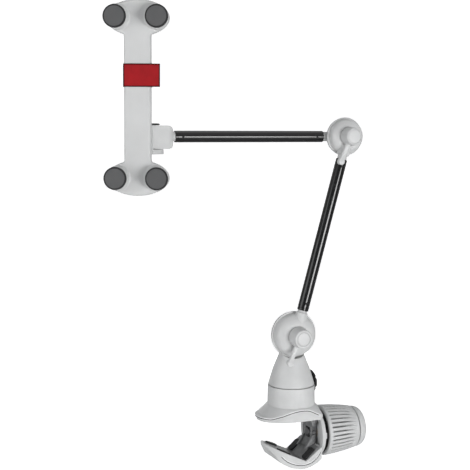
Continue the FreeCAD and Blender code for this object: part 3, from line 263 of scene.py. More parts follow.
def edge_wear():
    """Mask of handled edges: where the shaded normal of a softened edge leaves the face's own."""
    group, tree, given, result = effect("edge_wear", {"Width": 0.5, "Breakup": 6.0, "Amount": 1.0}, ("Mask",))
    width = tree.math("MULTIPLY", given.outputs["Width"], MM)
    soft = tree.add("ShaderNodeBevel", {"Radius": width}, samples=4).outputs[0]
    plain = tree.add("ShaderNodeNewGeometry").outputs["Normal"]
    facing = tree.add("ShaderNodeVectorMath", {0: soft, 1: plain}, operation="DOT_PRODUCT").outputs["Value"]
    edge = tree.span(facing, 0.995, 0.86)
    where = tree.add("ShaderNodeTexCoord").outputs["Object"]
    patch_scale = tree.math("DIVIDE", PER_METRE, given.outputs["Breakup"])
    broken = tree.span(tree.noise(where, patch_scale, 5.0, 0.65), 0.38, 0.62)
    mask = tree.math("MULTIPLY", tree.math("MULTIPLY", edge, broken), given.outputs["Amount"], clamp=True)
    group.links.new(mask, result.inputs["Mask"])
    return group


def dust_and_painted_shade():
    """Mask of grime together with painted shade, laid in the corners and grooves that ambient occlusion finds.
    """
    group, tree, given, result = effect("dust_and_painted_shade", {"Reach": 4.0, "Amount": 0.5}, ("Mask",))
    reach = tree.math("MULTIPLY", given.outputs["Reach"], MM)
    shade = tree.add("ShaderNodeAmbientOcclusion", {"Distance": reach}, samples=6, only_local=False)
    where = tree.add("ShaderNodeTexCoord").outputs["Object"]
    patches = tree.span(tree.noise(where, 90.0, 4.0, 0.6), 0.3, 0.7)
    shut = tree.math("POWER", tree.math("SUBTRACT", 1.0, shade.outputs["AO"], clamp=True), 1.4)
    mask = tree.math("MULTIPLY", tree.math("MULTIPLY", shut, tree.math("MULTIPLY_ADD", patches, 0.5)),
                     given.outputs["Amount"], clamp=True)
    group.links.new(mask, result.inputs["Mask"])
    return group


def hair_scratches():
    """Sparse fine scratches from hands and cloths."""
    group, tree, given, result = effect("hair_scratches", {"Scale": 60.0, "Amount": 0.5}, ("Mask",))
    where = tree.add("ShaderNodeTexCoord").outputs["Object"]
    masks = []
    for turn in ((0.3, 0.9, 0.2), (1.1, 0.2, 0.8)):
        spun = tree.add("ShaderNodeMapping", {"Vector": where, "Rotation": turn, "Scale": (1.0, 14.0, 14.0)})
        lines = tree.noise(spun.outputs[0], given.outputs["Scale"], 2.0, 0.5)
        masks.append(tree.span(lines, 0.66, 0.72))
    either = tree.math("MAXIMUM", masks[0], masks[1])
    mask = tree.math("MULTIPLY", either, given.outputs["Amount"], clamp=True)
    group.links.new(mask, result.inputs["Mask"])
    return group


def turned_lines():
    """Fine lines left by a lathe or a drawing die, by how many there are to a metre along each axis."""
    group, tree, given, result = effect("turned_lines", {"Along X": 400.0, "Along Y": 400.0, "Along Z": 400.0},
                                        ("Height", "Shade"))
    where = tree.add("ShaderNodeTexCoord").outputs["Object"]
    scale = tree.add("ShaderNodeCombineXYZ", {k: given.outputs[k] for k in range(3)}).outputs[0]
    stretched = tree.add("ShaderNodeVectorMath", {0: where, 1: scale}, operation="MULTIPLY").outputs[0]
    lines = tree.noise(stretched, 1.0, 4.0, 0.6)
    group.links.new(lines, result.inputs["Height"])
    group.links.new(tree.span(lines, 0.3, 0.7), result.inputs["Shade"])
    return group


GRAIN = moulded_grain()
WEAR = edge_wear()
DUST_AND_SHADE = dust_and_painted_shade()
SCRATCHES = hair_scratches()
LINES = turned_lines()


# Colour of grime and of painted shade in corners and grooves
GRIME_AND_SHADE = (0.10, 0.095, 0.085, 1.0)


def finish(name, colour, rough, metallic=0.0, level=0.5, grain=0.35, bump=0.06, flow=18.0, tone=0.05,
           worn=None, wear=0.4, wear_width=0.45, dust_and_shade=0.35, lines=None, sheen=0.0):
    """A finish from its base colour and the shared effects. Worn is the colour of its handled edges; dust is
    grime with painted shade.
    """
    material = bpy.data.materials.new(name)
    material.use_nodes = True
    tree = Tree(material.node_tree)
    shader = material.node_tree.nodes["Principled BSDF"]
    shader.inputs["Metallic"].default_value = metallic
    shader.inputs["Specular IOR Level"].default_value = level
    shader.inputs["Sheen Weight"].default_value = sheen

    def placed(group, **values):
        node = tree.add("ShaderNodeGroup")
        node.node_tree = group
        for label, value in values.items():
            node.inputs[label.replace("_", " ")].default_value = value
        return node

    mould = placed(GRAIN, Grain=grain, Flow=flow)
    darker = tuple(c * (1 - tone) for c in colour) + (1.0,)
    lighter = tuple(min(1.0, c * (1 + tone)) for c in colour) + (1.0,)
    tint = tree.blend(tree.span(mould.outputs["Flow Marks"], 0.3, 0.7), darker, lighter)
    height = mould.outputs["Height"]
    if lines:
        marks = placed(LINES, Along_X=lines[0], Along_Y=lines[1], Along_Z=lines[2])
        tint = tree.blend(tree.math("MULTIPLY", marks.outputs["Shade"], 0.35), tint,
                          tuple(c * 0.6 for c in colour) + (1.0,))
        height = tree.math("ADD", height, tree.math("MULTIPLY", marks.outputs["Height"], 1.5))
    scratch = placed(SCRATCHES, Scale=60.0, Amount=0.15).outputs["Mask"]
    edge = placed(WEAR, Width=wear_width, Breakup=6.0, Amount=wear).outputs["Mask"]
    # Grime together with painted shade, where ambient occlusion finds corners and grooves
    grime_and_shade = placed(DUST_AND_SHADE, Reach=4.0, Amount=dust_and_shade).outputs["Mask"]
    tint = tree.blend(edge, tint, tuple(worn or colour) + (1.0,))
    tint = tree.blend(tree.math("MULTIPLY", scratch, 0.35), tint, lighter)
    tint = tree.blend(grime_and_shade, tint, GRIME_AND_SHADE)
    material.node_tree.links.new(tint, shader.inputs["Base Color"])
    uneven = tree.math("MULTIPLY_ADD", mould.outputs["Flow Marks"], 0.12)
    uneven.node.inputs[2].default_value = rough - 0.06
    rubbed = tree.math("SUBTRACT", uneven, tree.math("MULTIPLY", edge, 0.08))
    dulling = tree.math("MULTIPLY", tree.math("ADD", scratch, grime_and_shade), 0.12)
    dulled = tree.math("ADD", rubbed, dulling, clamp=True)
    material.node_tree.links.new(dulled, shader.inputs["Roughness"])
    lift = tree.add("ShaderNodeBump", {"Height": height, "Strength": 0.5, "Distance": bump * MM})
    material.node_tree.links.new(lift.outputs[0], shader.inputs["Normal"])
    return material


# Satin silver, and the lighter colour of its handled edges: wear together with a painted highlight
SATIN, SATIN_WEAR_AND_HIGHLIGHT = (0.60, 0.605, 0.605), (0.74, 0.745, 0.75)
SILVER = finish("satin_silver_shell", SATIN, 0.44, worn=SATIN_WEAR_AND_HIGHLIGHT, wear=0.55)
SILVER_PLATE = finish("satin_silver_plate", SATIN, 0.46, flow=40.0, worn=SATIN_WEAR_AND_HIGHLIGHT)
FRAME_GREY = finish("cast_grey_frame", (0.20, 0.203, 0.207), 0.5, metallic=0.2, grain=0.6, bump=0.12, flow=6.0,
                    tone=0.16, worn=(0.34, 0.34, 0.35), wear=0.8)
TUBE_BLACK = finish("polished_black_tube", (0.004, 0.004, 0.0045), 0.14, level=0.42, grain=4.0, bump=0.002,
                    worn=(0.12, 0.12, 0.12), wear=0.2, dust_and_shade=0.05)
BLACK_PLASTIC = finish("black_knob_plastic", (0.006, 0.006, 0.0065), 0.42, level=0.3, grain=0.4,
                       worn=(0.03, 0.03, 0.03), wear=0.5, dust_and_shade=0.15)
JAW_RUBBER = finish("jaw_rubber", (0.017, 0.0175, 0.0185), 0.75, level=0.3, grain=0.5, bump=0.2,
                    worn=(0.05, 0.05, 0.05), wear=0.6, sheen=0.1)
GRIP_RUBBER = finish("grip_pad_rubber", (0.102, 0.103, 0.105), 0.82, level=0.25, grain=0.55, bump=0.22,
                     worn=(0.05, 0.05, 0.052), wear=1.0, wear_width=0.9, dust_and_shade=0.2, sheen=0.25)
# Darker copy of the pad rubber, painted shade on the pads' sides and rims
GRIP_RIM_SHADE = finish("grip_pad_rim_shade", (0.02, 0.02, 0.021), 0.7, level=0.3, grain=0.5, bump=0.15, wear=0.0,
                    dust_and_shade=0.2)
BAND_RED = finish("red_band_rubber", (0.33, 0.007, 0.011), 0.62, level=0.2, grain=0.5, bump=0.1, flow=9.0,
                  tone=0.12, worn=(0.13, 0.006, 0.009), wear=1.0, wear_width=0.8, dust_and_shade=0.1)
# Darker copy of the band's red, painted shade on its rolled edges
BAND_EDGE_SHADE = finish("red_band_edge_shade", (0.055, 0.002, 0.0035), 0.7, level=0.15, grain=0.5, bump=0.1, wear=0.0,
                  dust_and_shade=0.0)
# Lighter copy of the satin silver: a painted highlight on the beads along the brim and the jaw's shell
HIGHLIGHT_SILVER = finish("silver_painted_highlight", (0.78, 0.785, 0.79), 0.34, worn=(0.82, 0.825, 0.83), wear=0.3,
                    dust_and_shade=0.1)
STEEL = finish("turned_steel", (0.55, 0.55, 0.56), 0.3, metallic=1.0, grain=0.8, bump=0.02, wear=0.3,
               lines=(900, 900, 900))
DARK_STEEL = finish("blackened_steel", (0.012, 0.012, 0.013), 0.5, metallic=0.3, level=0.2, grain=0.5,
                    bump=0.03, worn=(0.05, 0.05, 0.05), wear=0.3)
OILED_STEEL = finish("oiled_steel_rod", (0.13, 0.13, 0.135), 0.42, metallic=0.6, level=0.3, grain=0.8,
                     bump=0.03, wear=0.2)
BRASS = finish("turned_brass", (0.62, 0.45, 0.2), 0.3, metallic=1.0, grain=0.8, bump=0.02, wear=0.3,
               lines=(900, 300, 300))

FINISH_OF_SLOT = {"silver": SILVER, "frame_metal": FRAME_GREY, "tube_black": TUBE_BLACK,
                  "black_plastic": BLACK_PLASTIC, "jaw_rubber": JAW_RUBBER, "grip_rubber": GRIP_RUBBER,
                  "band_red": BAND_RED, "steel": STEEL, "brass": BRASS}
SLOT_OF_NODE = {part["node"]: part["material_slot"] for part in frame["record"]["subparts"]}
BODY_OF_NODE = {node: body for body, members in frame["record"]["behaviour"]["bodies"].items()
                for node in members}

# Edges that turn by more degrees than this stay crisp, or are rounded
CRISP_ANGLE, SOFT_ANGLE = 40, 35
# Three ways of each axis: along it, and the two that a turn about it starts from
AXES = {"X": ((1, 0, 0), (0, 1, 0), (0, 0, 1)), "Y": ((0, 1, 0), (0, 0, 1), (1, 0, 0)),
        "Z": ((0, 0, 1), (1, 0, 0), (0, 1, 0))}


# Ways of making a piece
def stands_for(piece, *nodes):
    """The piece takes the nodes' place and body."""
    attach(piece, BODY_OF_NODE[nodes[0]])
    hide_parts(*nodes)


def mesh_piece(name, form, place, material):
    """Object from a bmesh drawn in millimetres at a place of the holder."""
    bmesh.ops.recalc_face_normals(form, faces=form.faces[:])
    mesh = bpy.data.meshes.new(name)
    form.to_mesh(mesh)
    form.free()
    mesh.transform(place @ Matrix.Scale(MM, 4))
    mesh.polygons.foreach_set("use_smooth", [True] * len(mesh.polygons))
    mesh.set_sharp_from_angle(angle=math.radians(CRISP_ANGLE))
    mesh.materials.append(material)
    piece = bpy.data.objects.new(name, mesh)
    scene.collection.objects.link(piece)
    return evened(piece)


def evened(piece):
    """Lets large flat and turned faces keep their own normals beside small roundings."""
    piece.modifiers.new("even_normals", "WEIGHTED_NORMAL").keep_sharp = True
    return piece


def softened(piece, width, sharp=SOFT_ANGLE):
    """Rounds the piece's sharp edges as a mould does."""
    for old in list(piece.modifiers):
        piece.modifiers.remove(old)
    bevel = piece.modifiers.new("soft_edges", "BEVEL")
    bevel.width = width * MM
    bevel.segments = 2
    bevel.limit_method = "ANGLE"
    bevel.angle_limit = math.radians(sharp)
    return evened(piece)


def eased_copy(node, width=0.35):
    """Moulded copy of a solid with softened edges."""
    mesh = cad[node].data.copy()
    mesh.name = "moulded_" + node
    form = bmesh.new()
    form.from_mesh(mesh)
    bmesh.ops.remove_doubles(form, verts=form.verts[:], dist=0.00001)
    bmesh.ops.dissolve_limit(form, angle_limit=math.radians(1.5), verts=form.verts[:], edges=form.edges[:])
    form.to_mesh(mesh)
    form.free()
    mesh.polygons.foreach_set("use_smooth", [True] * len(mesh.polygons))
    if mesh.attributes.get("sharp_edge"):
        mesh.attributes.remove(mesh.attributes["sharp_edge"])
    mesh.materials.clear()
    mesh.materials.append(FINISH_OF_SLOT[SLOT_OF_NODE[node]])
    piece = bpy.data.objects.new("moulded_" + node, mesh)
    scene.collection.objects.link(piece)
    softened(piece, width)
    stands_for(piece, node)
    return piece


def rounded_corner(start, corner, end, steps):
    """Points of a curve that leaves its two ends towards the corner."""
    shares = [step / steps for step in range(steps + 1)]
    return [start * (1 - share) ** 2 + corner * 2 * share * (1 - share) + end * share ** 2 for share in shares]


def rounded_line(points, radius, steps=4):
    """Open line of (along, out) corners with its inner corners rounded. A corner may carry its own radius."""
    flat = [Vector(p[:2]) for p in points]
    line = [flat[0]]
    for k in range(1, len(flat) - 1):
        here = flat[k]
        own = points[k][2] if len(points[k]) > 2 else radius
        before, after = flat[k - 1] - here, flat[k + 1] - here
        reach = min(own, before.length * 0.49, after.length * 0.49)
        if reach < 1e-4:
            line.append(here)
            continue
        start, end = here + before.normalized() * reach, here + after.normalized() * reach
        line += rounded_corner(start, here, end, steps)
    line.append(flat[-1])
    return line


def lathed(form, axis, line, around=96, middle=(0, 0, 0), shape=None):
    """Adds a turned surface. The line is (along the axis, out from it). Shape may change the radius."""
    along, first, second = (Vector(way) for way in AXES[axis])
    middle = Vector(middle)
    rows = []
    for far, out in line:
        if out < 1e-5:
            rows.append([form.verts.new(middle + along * far)])
            continue
        row = []
        for k in range(around):
            angle = 2 * math.pi * k / around
            radius = shape(far, out, angle) if shape else out
            spoke = first * math.cos(angle) + second * math.sin(angle)
            row.append(form.verts.new(middle + along * far + spoke * radius))
        rows.append(row)
    for low, high in zip(rows, rows[1:]):
        if len(low) == 1 and len(high) == 1:
            continue
        for k in range(around):
            nxt = (k + 1) % around
            ring = [low[0]] if len(low) == 1 else [low[k], low[nxt]]
            ring += [high[0]] if len(high) == 1 else [high[nxt], high[k]]
            form.faces.new(ring)


def skinned(form, rows, shade=0):
    """Adds faces between closed rows of the same number of points."""
    for low, high in zip(rows, rows[1:]):
        for k in range(len(low)):
            nxt = (k + 1) % len(low)
            form.faces.new((low[k], low[nxt], high[nxt], high[k])).material_index = shade


def arc_through(start, middle, end, steps=12):
    """Points of the arc through three points, the ends included."""
    (ax, ay), (bx, by), (cx, cy) = start, middle, end
    d = 2 * (ax * (by - cy) + bx * (cy - ay) + cx * (ay - by))
    a, b, c = ax * ax + ay * ay, bx * bx + by * by, cx * cx + cy * cy
    ux = (a * (by - cy) + b * (cy - ay) + c * (ay - by)) / d
    uy = (a * (cx - bx) + b * (ax - cx) + c * (bx - ax)) / d
    radius = math.hypot(ax - ux, ay - uy)
    first, mid, last = (math.atan2(y - uy, x - ux) for x, y in (start, middle, end))
    sweep = (last - first + math.pi) % (2 * math.pi) - math.pi
    if ((mid - first + math.pi) % (2 * math.pi) - math.pi) * sweep < 0:
        sweep -= math.copysign(2 * math.pi, sweep)
    angles = [first + sweep * k / steps for k in range(steps + 1)]
    return [(ux + radius * math.cos(angle), uy + radius * math.sin(angle)) for angle in angles]


def smooth_step(value, low, high):
    share = min(1.0, max(0.0, (value - low) / (high - low)))
    return share * share * (3 - 2 * share)


# Clamp knob. Its lengths run along its axis from the jaw end.
KNOB_START, KNOB_LONG = 32.6, 38.5
RIBS, GROOVE_DEEP = 36, 4.6
GROOVE_BEGINS, GROOVE_RUNS_OUT, GROOVE_SIDE = (3.6, 4.3), (17.0, 35.0), (0.5, 0.85)


def ribbed_knob():
    """Barrel with rounded ribs. The grooves are deep at the jaw end and run out towards the cap."""
    barrel = arc_through((2.6, 26.35), (KNOB_LONG * 0.52, 24.85), (36.9, 22.2), 30)
    line = rounded_line([(0, 8.2), (0, 24.6), (0.9, 26.0), (2.6, 26.35)], 1.2)
    line += [Vector(p) for p in barrel[1:-1]]
    line += rounded_line([barrel[-1], (37.1, 21.9), (37.1, 19.8), (38.5, 19.8), (38.5, 5.6)], 0.3)

    def ribs(far, out, angle):
        run = smooth_step(far, *GROOVE_BEGINS) * (1 - smooth_step(far, *GROOVE_RUNS_OUT))
        pitch = 2 * math.pi / RIBS
        aside = abs((angle / pitch + 0.5) % 1.0 - 0.5) * pitch * out
        return out - GROOVE_DEEP * run * (1 - smooth_step(aside, *GROOVE_SIDE))

    form = bmesh.new()
    lathed(form, "X", line, around=RIBS * 20, shape=ribs)
    piece = mesh_piece("ribbed_knob", form, SCREW_LINE @ moved(KNOB_START, 0, 0), SILVER)
    stands_for(piece, "clamp_knob")


def knob_cap():
    """Rounded cap with a shallow dish in its end."""
    form = bmesh.new()
    line = rounded_line([(0, 0), (0, 19.8), (0.1, 21.0), (0.5, 21.35), (3.0, 21.35), (7.4, 19.9, 3.5),
                         (10.35, 14.6, 2.5), (10.35, 12.6), (9.6, 12.1), (9.4, 0)], 0.5, 6)
    lathed(form, "X", line)
    piece = mesh_piece("knob_cap_dome", form, SCREW_LINE @ moved(KNOB_START + KNOB_LONG, 0, 0), SILVER)
    stands_for(piece, "knob_end_cap")


def thrust_washer():
    """Black washer behind the knob, with the flange that shows as a dark crescent beside it."""
    form = bmesh.new()
    lathed(form, "X", rounded_line([(28.15, 16.1), (28.15, 20.0), (31.2, 20.1), (31.35, 23.2), (32.1, 23.5),
                                    (32.45, 23.1), (32.45, 8.1)], 0.3))
    stands_for(mesh_piece("thrust_washer", form, SCREW_LINE, BLACK_PLASTIC), "knob_washer")


# Elbows and their levers. SPLIT is how far in front of the arm's middle the halves of an elbow meet.
SPLIT = 5.0
# How far the drum's lip stands proud, and how wide the dark band of painted shade at the split is
LIP_PROUD, SPLIT_SHADE_BAND = 0.8, 0.75
# The drum's lip from the split forward: (along, out past the radius)
DRUM_LIP = [(0, -1.0), (0.05, -0.1), (0.55, -0.1), (0.6, -0.3), (0.7, -0.3), (0.8, -0.08), (0.95, 0),
            (1.35, 0), (1.55, -0.12), (1.7, -0.4), (1.7, -1.35), (1.8, -1.65), (2.1, -1.85), (2.5, -1.98)]
# The lever's paddle from the boss down: (height, half its width)
PADDLE = [(0, 2.6), (-8, 2.5), (-16, 2.3), (-22, 2.25), (-24.6, 2.6), (-26, 3.2), (-27.6, 3.5), (-29.2, 3.1),
          (-30.4, 1.9), (-30.95, 0.6), (-31, 0)]
PADDLE_TURN = 25
LEVER_GAP = 0.3


def drum_line(radius, deep, hub):
    """Half section of the front half of an elbow: lip, soft dome and flat hub."""
    start, end = -SPLIT - 0.15, -SPLIT - deep
    knee = (start - (deep - 2.4) * 0.62, hub + (radius - hub) * 0.80)
    dome = arc_through((start - 2.9, radius - 2.1), knee, (end, hub), 18)
    return ([Vector((start, 0))] + [Vector((start - far, radius + out)) for far, out in DRUM_LIP]
            + [Vector(p) for p in dome] + [Vector((end, hub - 0.6)), Vector((end, 0))])


def front_half(node, place, radius, deep, hub, collar, towards):
    """Front half of an elbow with the collar that the lower tube starts from."""
    form = bmesh.new()
    lathed(form, "Y", drum_line(radius + LIP_PROUD, deep, hub), around=128)
    # Faces next to the split take the dark steel: painted shade in the gap between the elbow's halves
    for face in form.faces:
        face.material_index = 1 if face.calc_center_median().y > -SPLIT - SPLIT_SHADE_BAND else 0
    end = towards * (radius + collar)
    neck = rounded_line([(towards * radius * 0.5, 6.6), (towards * (radius + 0.6), 6.2),
                         (towards * (radius + 1.3), 4.85), (end - towards * 0.3, 4.8), (end, 4.5),
                         (end, 0)], 0.8)
    lathed(form, "Z", neck, around=48, middle=(0, LOWER_LAYER, 0))
    piece = mesh_piece(node + "_moulding", form, place, SILVER)
    piece.data.materials.append(DARK_STEEL)
    stands_for(piece, node)


def lock_lever(node, cap, place, boss, boss_long, deep):
    """Round boss with a slim paddle, in one moulding, and its domed face."""
    root = -SPLIT - deep - LEVER_GAP
    front = root - boss_long
    slim = boss * 0.88
    form = bmesh.new()
    round_boss = rounded_line([(root, 3.1), (root, boss), (front + 1.3, slim + 0.1),
                               (front + 0.35, slim - 0.35), (front, slim - 1.3), (front, 6.95),
                               (front + 1.2, 6.9), (front + 1.2, 0)], 0.6)
    lathed(form, "Y", round_boss, around=72)
    depth = root - 3.2
    rows = []
    for far, half in PADDLE:
        lean = 0.9 * smooth_step(-far, 6, 28)
        thick = 3.6 + 1.1 * smooth_step(-far, 23, 27)
        section = [(-half, -0.35), (-half, -thick + 0.9), (-half + 0.8, -thick), (half - 0.8, -thick),
                   (half, -thick + 0.9), (half, -0.35), (half - 0.4, 0), (-half + 0.4, 0)]
        if half < 1.0:
            section = [(x * 0.2, y) for x, y in section]
        rows.append([form.verts.new((x, depth + y - lean, far)) for x, y in section])
    skinned(form, rows)
    form.faces.new(rows[0])
    form.faces.new(list(reversed(rows[-1])))
    aim = place @ turned("Y", PADDLE_TURN)
    piece = mesh_piece(node + "_moulding", form, aim, SILVER)
    softened(piece, 0.35, CRISP_ANGLE)
    stands_for(piece, node)
    form = bmesh.new()
    dome = rounded_line([(front + 1.2, 0), (front + 1.2, 6.85), (front + 0.45, 6.8), (front + 0.2, 6.3),
                         (front - 0.12, 3.5, 2.0), (front - 0.16, 0)], 0.3)
    lathed(form, "Y", dome, around=72)
    stands_for(mesh_piece(cap + "_dome", form, aim, SILVER), cap)


# Tubes
TUBE_OUT, PIN_FROM_END = 5.8, 7.5


def arm_tube(node, pins, place, layer, start, end):
    """Black tube with a fine turned ring near each end and the sunk heads of its cross pins."""
    form = bmesh.new()
    out = TUBE_OUT
    half = [(0, out - 0.85), (0, out - 0.3), (0.25, out - 0.02), (2.2, out), (2.4, out - 0.2), (2.8, out - 0.2),
            (3.0, out)]
    line = [(start + far, r) for far, r in half] + [(end - far, r) for far, r in reversed(half)]
    lathed(form, "Z", [Vector(p) for p in line], around=64, middle=(0, layer, 0))
    stands_for(mesh_piece(node + "_drawn", form, place, TUBE_BLACK), node)
    form = bmesh.new()
    for height in (start + PIN_FROM_END, end - PIN_FROM_END):
        for side in (-1, 1):
            head = rounded_line([(side * 3.0, 0), (side * 3.0, 1.4), (side * (out - 0.1), 1.4),
                                 (side * (out + 0.05), 1.0), (side * (out + 0.1), 0)], 0.3)
            lathed(form, "Y", head, around=24, middle=(0, layer, height))
    stands_for(mesh_piece(pins + "_heads", form, place, DARK_STEEL), pins)


# Plate. Its middle lies LIFT above the hub, its ovals LOBE from the middle, its cups ACROSS from the spine's.
LIFT, LOBE, ACROSS = 35.0, 73.4, 19.2
OVAL_WIDE, OVAL_HIGH, SPINE_HALF = 29.35, 16.6, 12.45
FILLET = 1.6
RECESS_HALF, RECESS_DEEP = 11.05, 1.62
CUP_BORE, CUP_LEAST = 10.1, 10.35
PAD_FACE, PAD_DARK_RING = -20.57, 9.15


def plate_outline():
    """Dog-bone: two ovals joined by the spine, with small fillets where they meet."""
    start = math.asin(SPINE_HALF / OVAL_WIDE)
    oval = []
    count = 44
    for k in range(count + 1):
        angle = start + (2 * math.pi - 2 * start) * k / count
        oval.append((OVAL_WIDE * math.sin(angle), -OVAL_HIGH * math.cos(angle)))
    upper = [(x, LIFT + LOBE + z) for x, z in oval]
    lower = [(-x, LIFT - LOBE - z) for x, z in oval]
    corners = upper + lower
    line = []
    for k, here in enumerate(corners):
        here = Vector(here)
        before, after = Vector(corners[k - 1]) - here, Vector(corners[(k + 1) % len(corners)]) - here
        if abs(abs(here.x) - SPINE_HALF) < 1e-6:
            line += rounded_corner(here + before.normalized() * min(FILLET, before.length * 0.95), here,
                                   here + after.normalized() * min(FILLET, after.length * 0.95), 5)
        else:
            line.append(here)
    return line


def offset_line(line, inset):
    """Closed line moved inwards. The line runs anticlockwise."""
    result = []
    for k, here in enumerate(line):
        before = (here - line[k - 1]).normalized()
        after = (line[(k + 1) % len(line)] - here).normalized()
        normal = Vector((-before.y, before.x)) + Vector((-after.y, after.x))
        normal = normal.normalized() / max(0.6, math.sqrt((1 + before.dot(after)) / 2))
        result.append(here + normal * inset)
    return result


def kept_in_oval(x_side):
    """Limit on a cup's radius that keeps it inside the oval's outline."""
    def limit(_, out, angle):
        if out <= CUP_BORE:
            return out
        x, z = math.sin(angle), math.cos(angle)
        a = (x / OVAL_WIDE) ** 2 + (z / OVAL_HIGH) ** 2
        b = x_side * ACROSS * x / OVAL_WIDE ** 2
        c = (ACROSS / OVAL_WIDE) ** 2 - 1
        return min(out, max(CUP_LEAST, (math.sqrt(b * b - a * c) - b) / a - 0.2))
    return limit


def holder_plate():
    """Plate with rolled edges, a recess for the back cover and four raised cups."""
    line = plate_outline()
    if sum(a.x * b.y - a.y * b.x for a, b in zip(line, line[1:] + line[:1])) < 0:
        line.reverse()
    form = bmesh.new()
    levels = [(0.9, 0.0), (0.25, -0.15), (0.0, -0.7), (0.0, -6.2), (0.15, -7.2), (0.6, -8.1), (1.35, -8.75),
              (2.4, -9.0)]
    rows = [[form.verts.new((p.x, depth, p.y)) for p in offset_line(line, inset)] for inset, depth in levels]
    skinned(form, rows)
    form.faces.new(rows[-1])
    side, foot, head = RECESS_HALF, LIFT - LOBE - 1, LIFT + LOBE + 1
    recess = [(-side, foot), (side, foot), (side, head), (-side, head)]
    rim = [form.verts.new((x, 0.0, z)) for x, z in recess]
    floor = [form.verts.new((x, -RECESS_DEEP, z)) for x, z in recess]
    rim_edges = [form.edges.new((rim[k], rim[(k + 1) % 4])) for k in range(4)]
    skinned(form, [rim, floor])
    form.faces.new(floor)
    outer_edges = [form.edges.get((rows[0][k], rows[0][(k + 1) % len(rows[0])])) for k in range(len(rows[0]))]
    bmesh.ops.triangle_fill(form, use_beauty=True, edges=rim_edges + outer_edges)
    for x_side in (-1, 1):
        for z_side in (-1, 1):
            cup = rounded_line([(-7.5, 13.6), (-9.0, 13.4), (-9.25, 12.3, 1.2), (-10.4, 11.65, 1.5),
                                (-17.0, 11.2), (-17.45, 11.0), (-17.45, 10.0), (-16.1, 9.9),
                                (-16.05, 0)], 0.35, 5)
            middle = (x_side * ACROSS, 0, LIFT + z_side * LOBE)
            lathed(form, "Y", cup, middle=middle, shape=kept_in_oval(x_side))
    piece = mesh_piece("plate_moulding", form, PLATE, SILVER_PLATE)
    stands_for(piece, "holder_plate")


def grip_pad(node, x_side, z_side):
    """Round rubber pad: foot sunk in its cup, its side and rim painted darker as shade, and a faint ring near
    the rim of its face.
    """
    form = bmesh.new()
    top = PAD_FACE
    line = rounded_line([(-16.05, 0), (-16.05, 9.8), (-17.42, 9.85), (-17.45, 10.55), (-19.6, 10.6),
                         (top + 0.15, 10.35, 0.7), (top, 9.7), (top, 9.25), (top + 0.12, 9.1), (top, 8.95),
                         (top - 0.02, 5), (top - 0.02, 0)], 0.12)
    lathed(form, "Y", line)
    # Faces out past the dark ring take the darker rubber, painted shade on the pad's side and rim
    for face in form.faces:
        middle = face.calc_center_median()
        face.material_index = 1 if math.hypot(middle.x, middle.z) > PAD_DARK_RING else 0
    place = PLATE @ moved(x_side * ACROSS, 0, LIFT + z_side * LOBE)
    piece = mesh_piece(node + "_soft", form, place, GRIP_RUBBER)
    piece.data.materials.append(GRIP_RIM_SHADE)
    stands_for(piece, node)


# Band. Its middle lies BAND_UP above the plate's.
BAND_UP, BAND_HALF, DARK_EDGE_WIDE = 21, 10.6, 1.15


def red_band():
    """Flat elastic band round the spine, its free end standing out to the right, its edges rolled and painted
    darker as shade.
    """
    low, high = LIFT + BAND_UP - BAND_HALF, LIFT + BAND_UP + BAND_HALF
    front, back, side, tab = -9.06, 0.06, 12.51, 21.2
    route = [(tab, front - 0.3), (tab - DARK_EDGE_WIDE, front - 0.3), (-side + 1.0, front - 0.3),
             (-side + 0.4, front - 0.3),
             (-side - 0.1, front - 0.05), (-side - 0.3, front + 0.8), (-side - 0.3, back - 0.6),
             (-side - 0.1, back + 0.15), (-side + 0.7, back + 0.3), (side - 0.7, back + 0.3),
             (side + 0.1, back + 0.15), (side + 0.3, back - 0.6), (side + 0.3, front + 0.8),
             (side + 0.25, front + 0.25)]
    form = bmesh.new()
    half = [(-0.3, DARK_EDGE_WIDE), (-0.3, 0.25), (-0.22, 0), (0.22, 0), (0.3, 0.25), (0.3, DARK_EDGE_WIDE)]
    section = [(far, low + up) for far, up in half] + [(far, high - up) for far, up in reversed(half)]
    rows = []
    for k, (x, y) in enumerate(route):
        before = Vector(route[max(0, k - 1)])
        after = Vector(route[min(len(route) - 1, k + 1)])
        along = (after - before).normalized()
        out = Vector((-along.y, along.x))
        rows.append([form.verts.new((x + out.x * far, y + out.y * far, z)) for far, z in section])
    skinned(form, rows)
    form.faces.new(rows[0])
    form.faces.new(rows[-1])
    # Faces along the band's edges, round the spine's left side and at its free end take the dark red, painted
    # shade
    for face in form.faces:
        middle = face.calc_center_median()
        inside = low + DARK_EDGE_WIDE < middle.z < high - DARK_EDGE_WIDE and -side + 0.9 < middle.x < tab - DARK_EDGE_WIDE
        face.material_index = 0 if inside else 1
    piece = mesh_piece("elastic_band", form, PLATE, BAND_RED)
    piece.data.materials.append(BAND_EDGE_SHADE)
    softened(piece, 0.1, 50)
    stands_for(piece, "red_band")


# Clamp and neck mouldings. The brim stands on the hat, whose slope is (distance from the axis, height).
HAT_SLOPE = [(24.6, 13.9), (27.0, 12.4), (30.0, 8.9), (34.4, 5.2), (60.0, 5.2)]
# Sections (out, up) of the brim's bead, painted lighter as a highlight, and of the dark strip under it, painted
# shade in the joint
BRIM_BEAD = [(-0.3, -0.15), (0.0, -0.1), (0.22, -0.35), (0.28, -0.7), (0.2, -1.05), (0.0, -1.25), (-0.3, -1.25)]
BRIM_JOINT_SHADE = [(-0.3, -1.2), (0.03, -1.2), (0.05, -1.35), (0.05, -1.85), (0.03, -2.0), (-0.3, -2.0)]
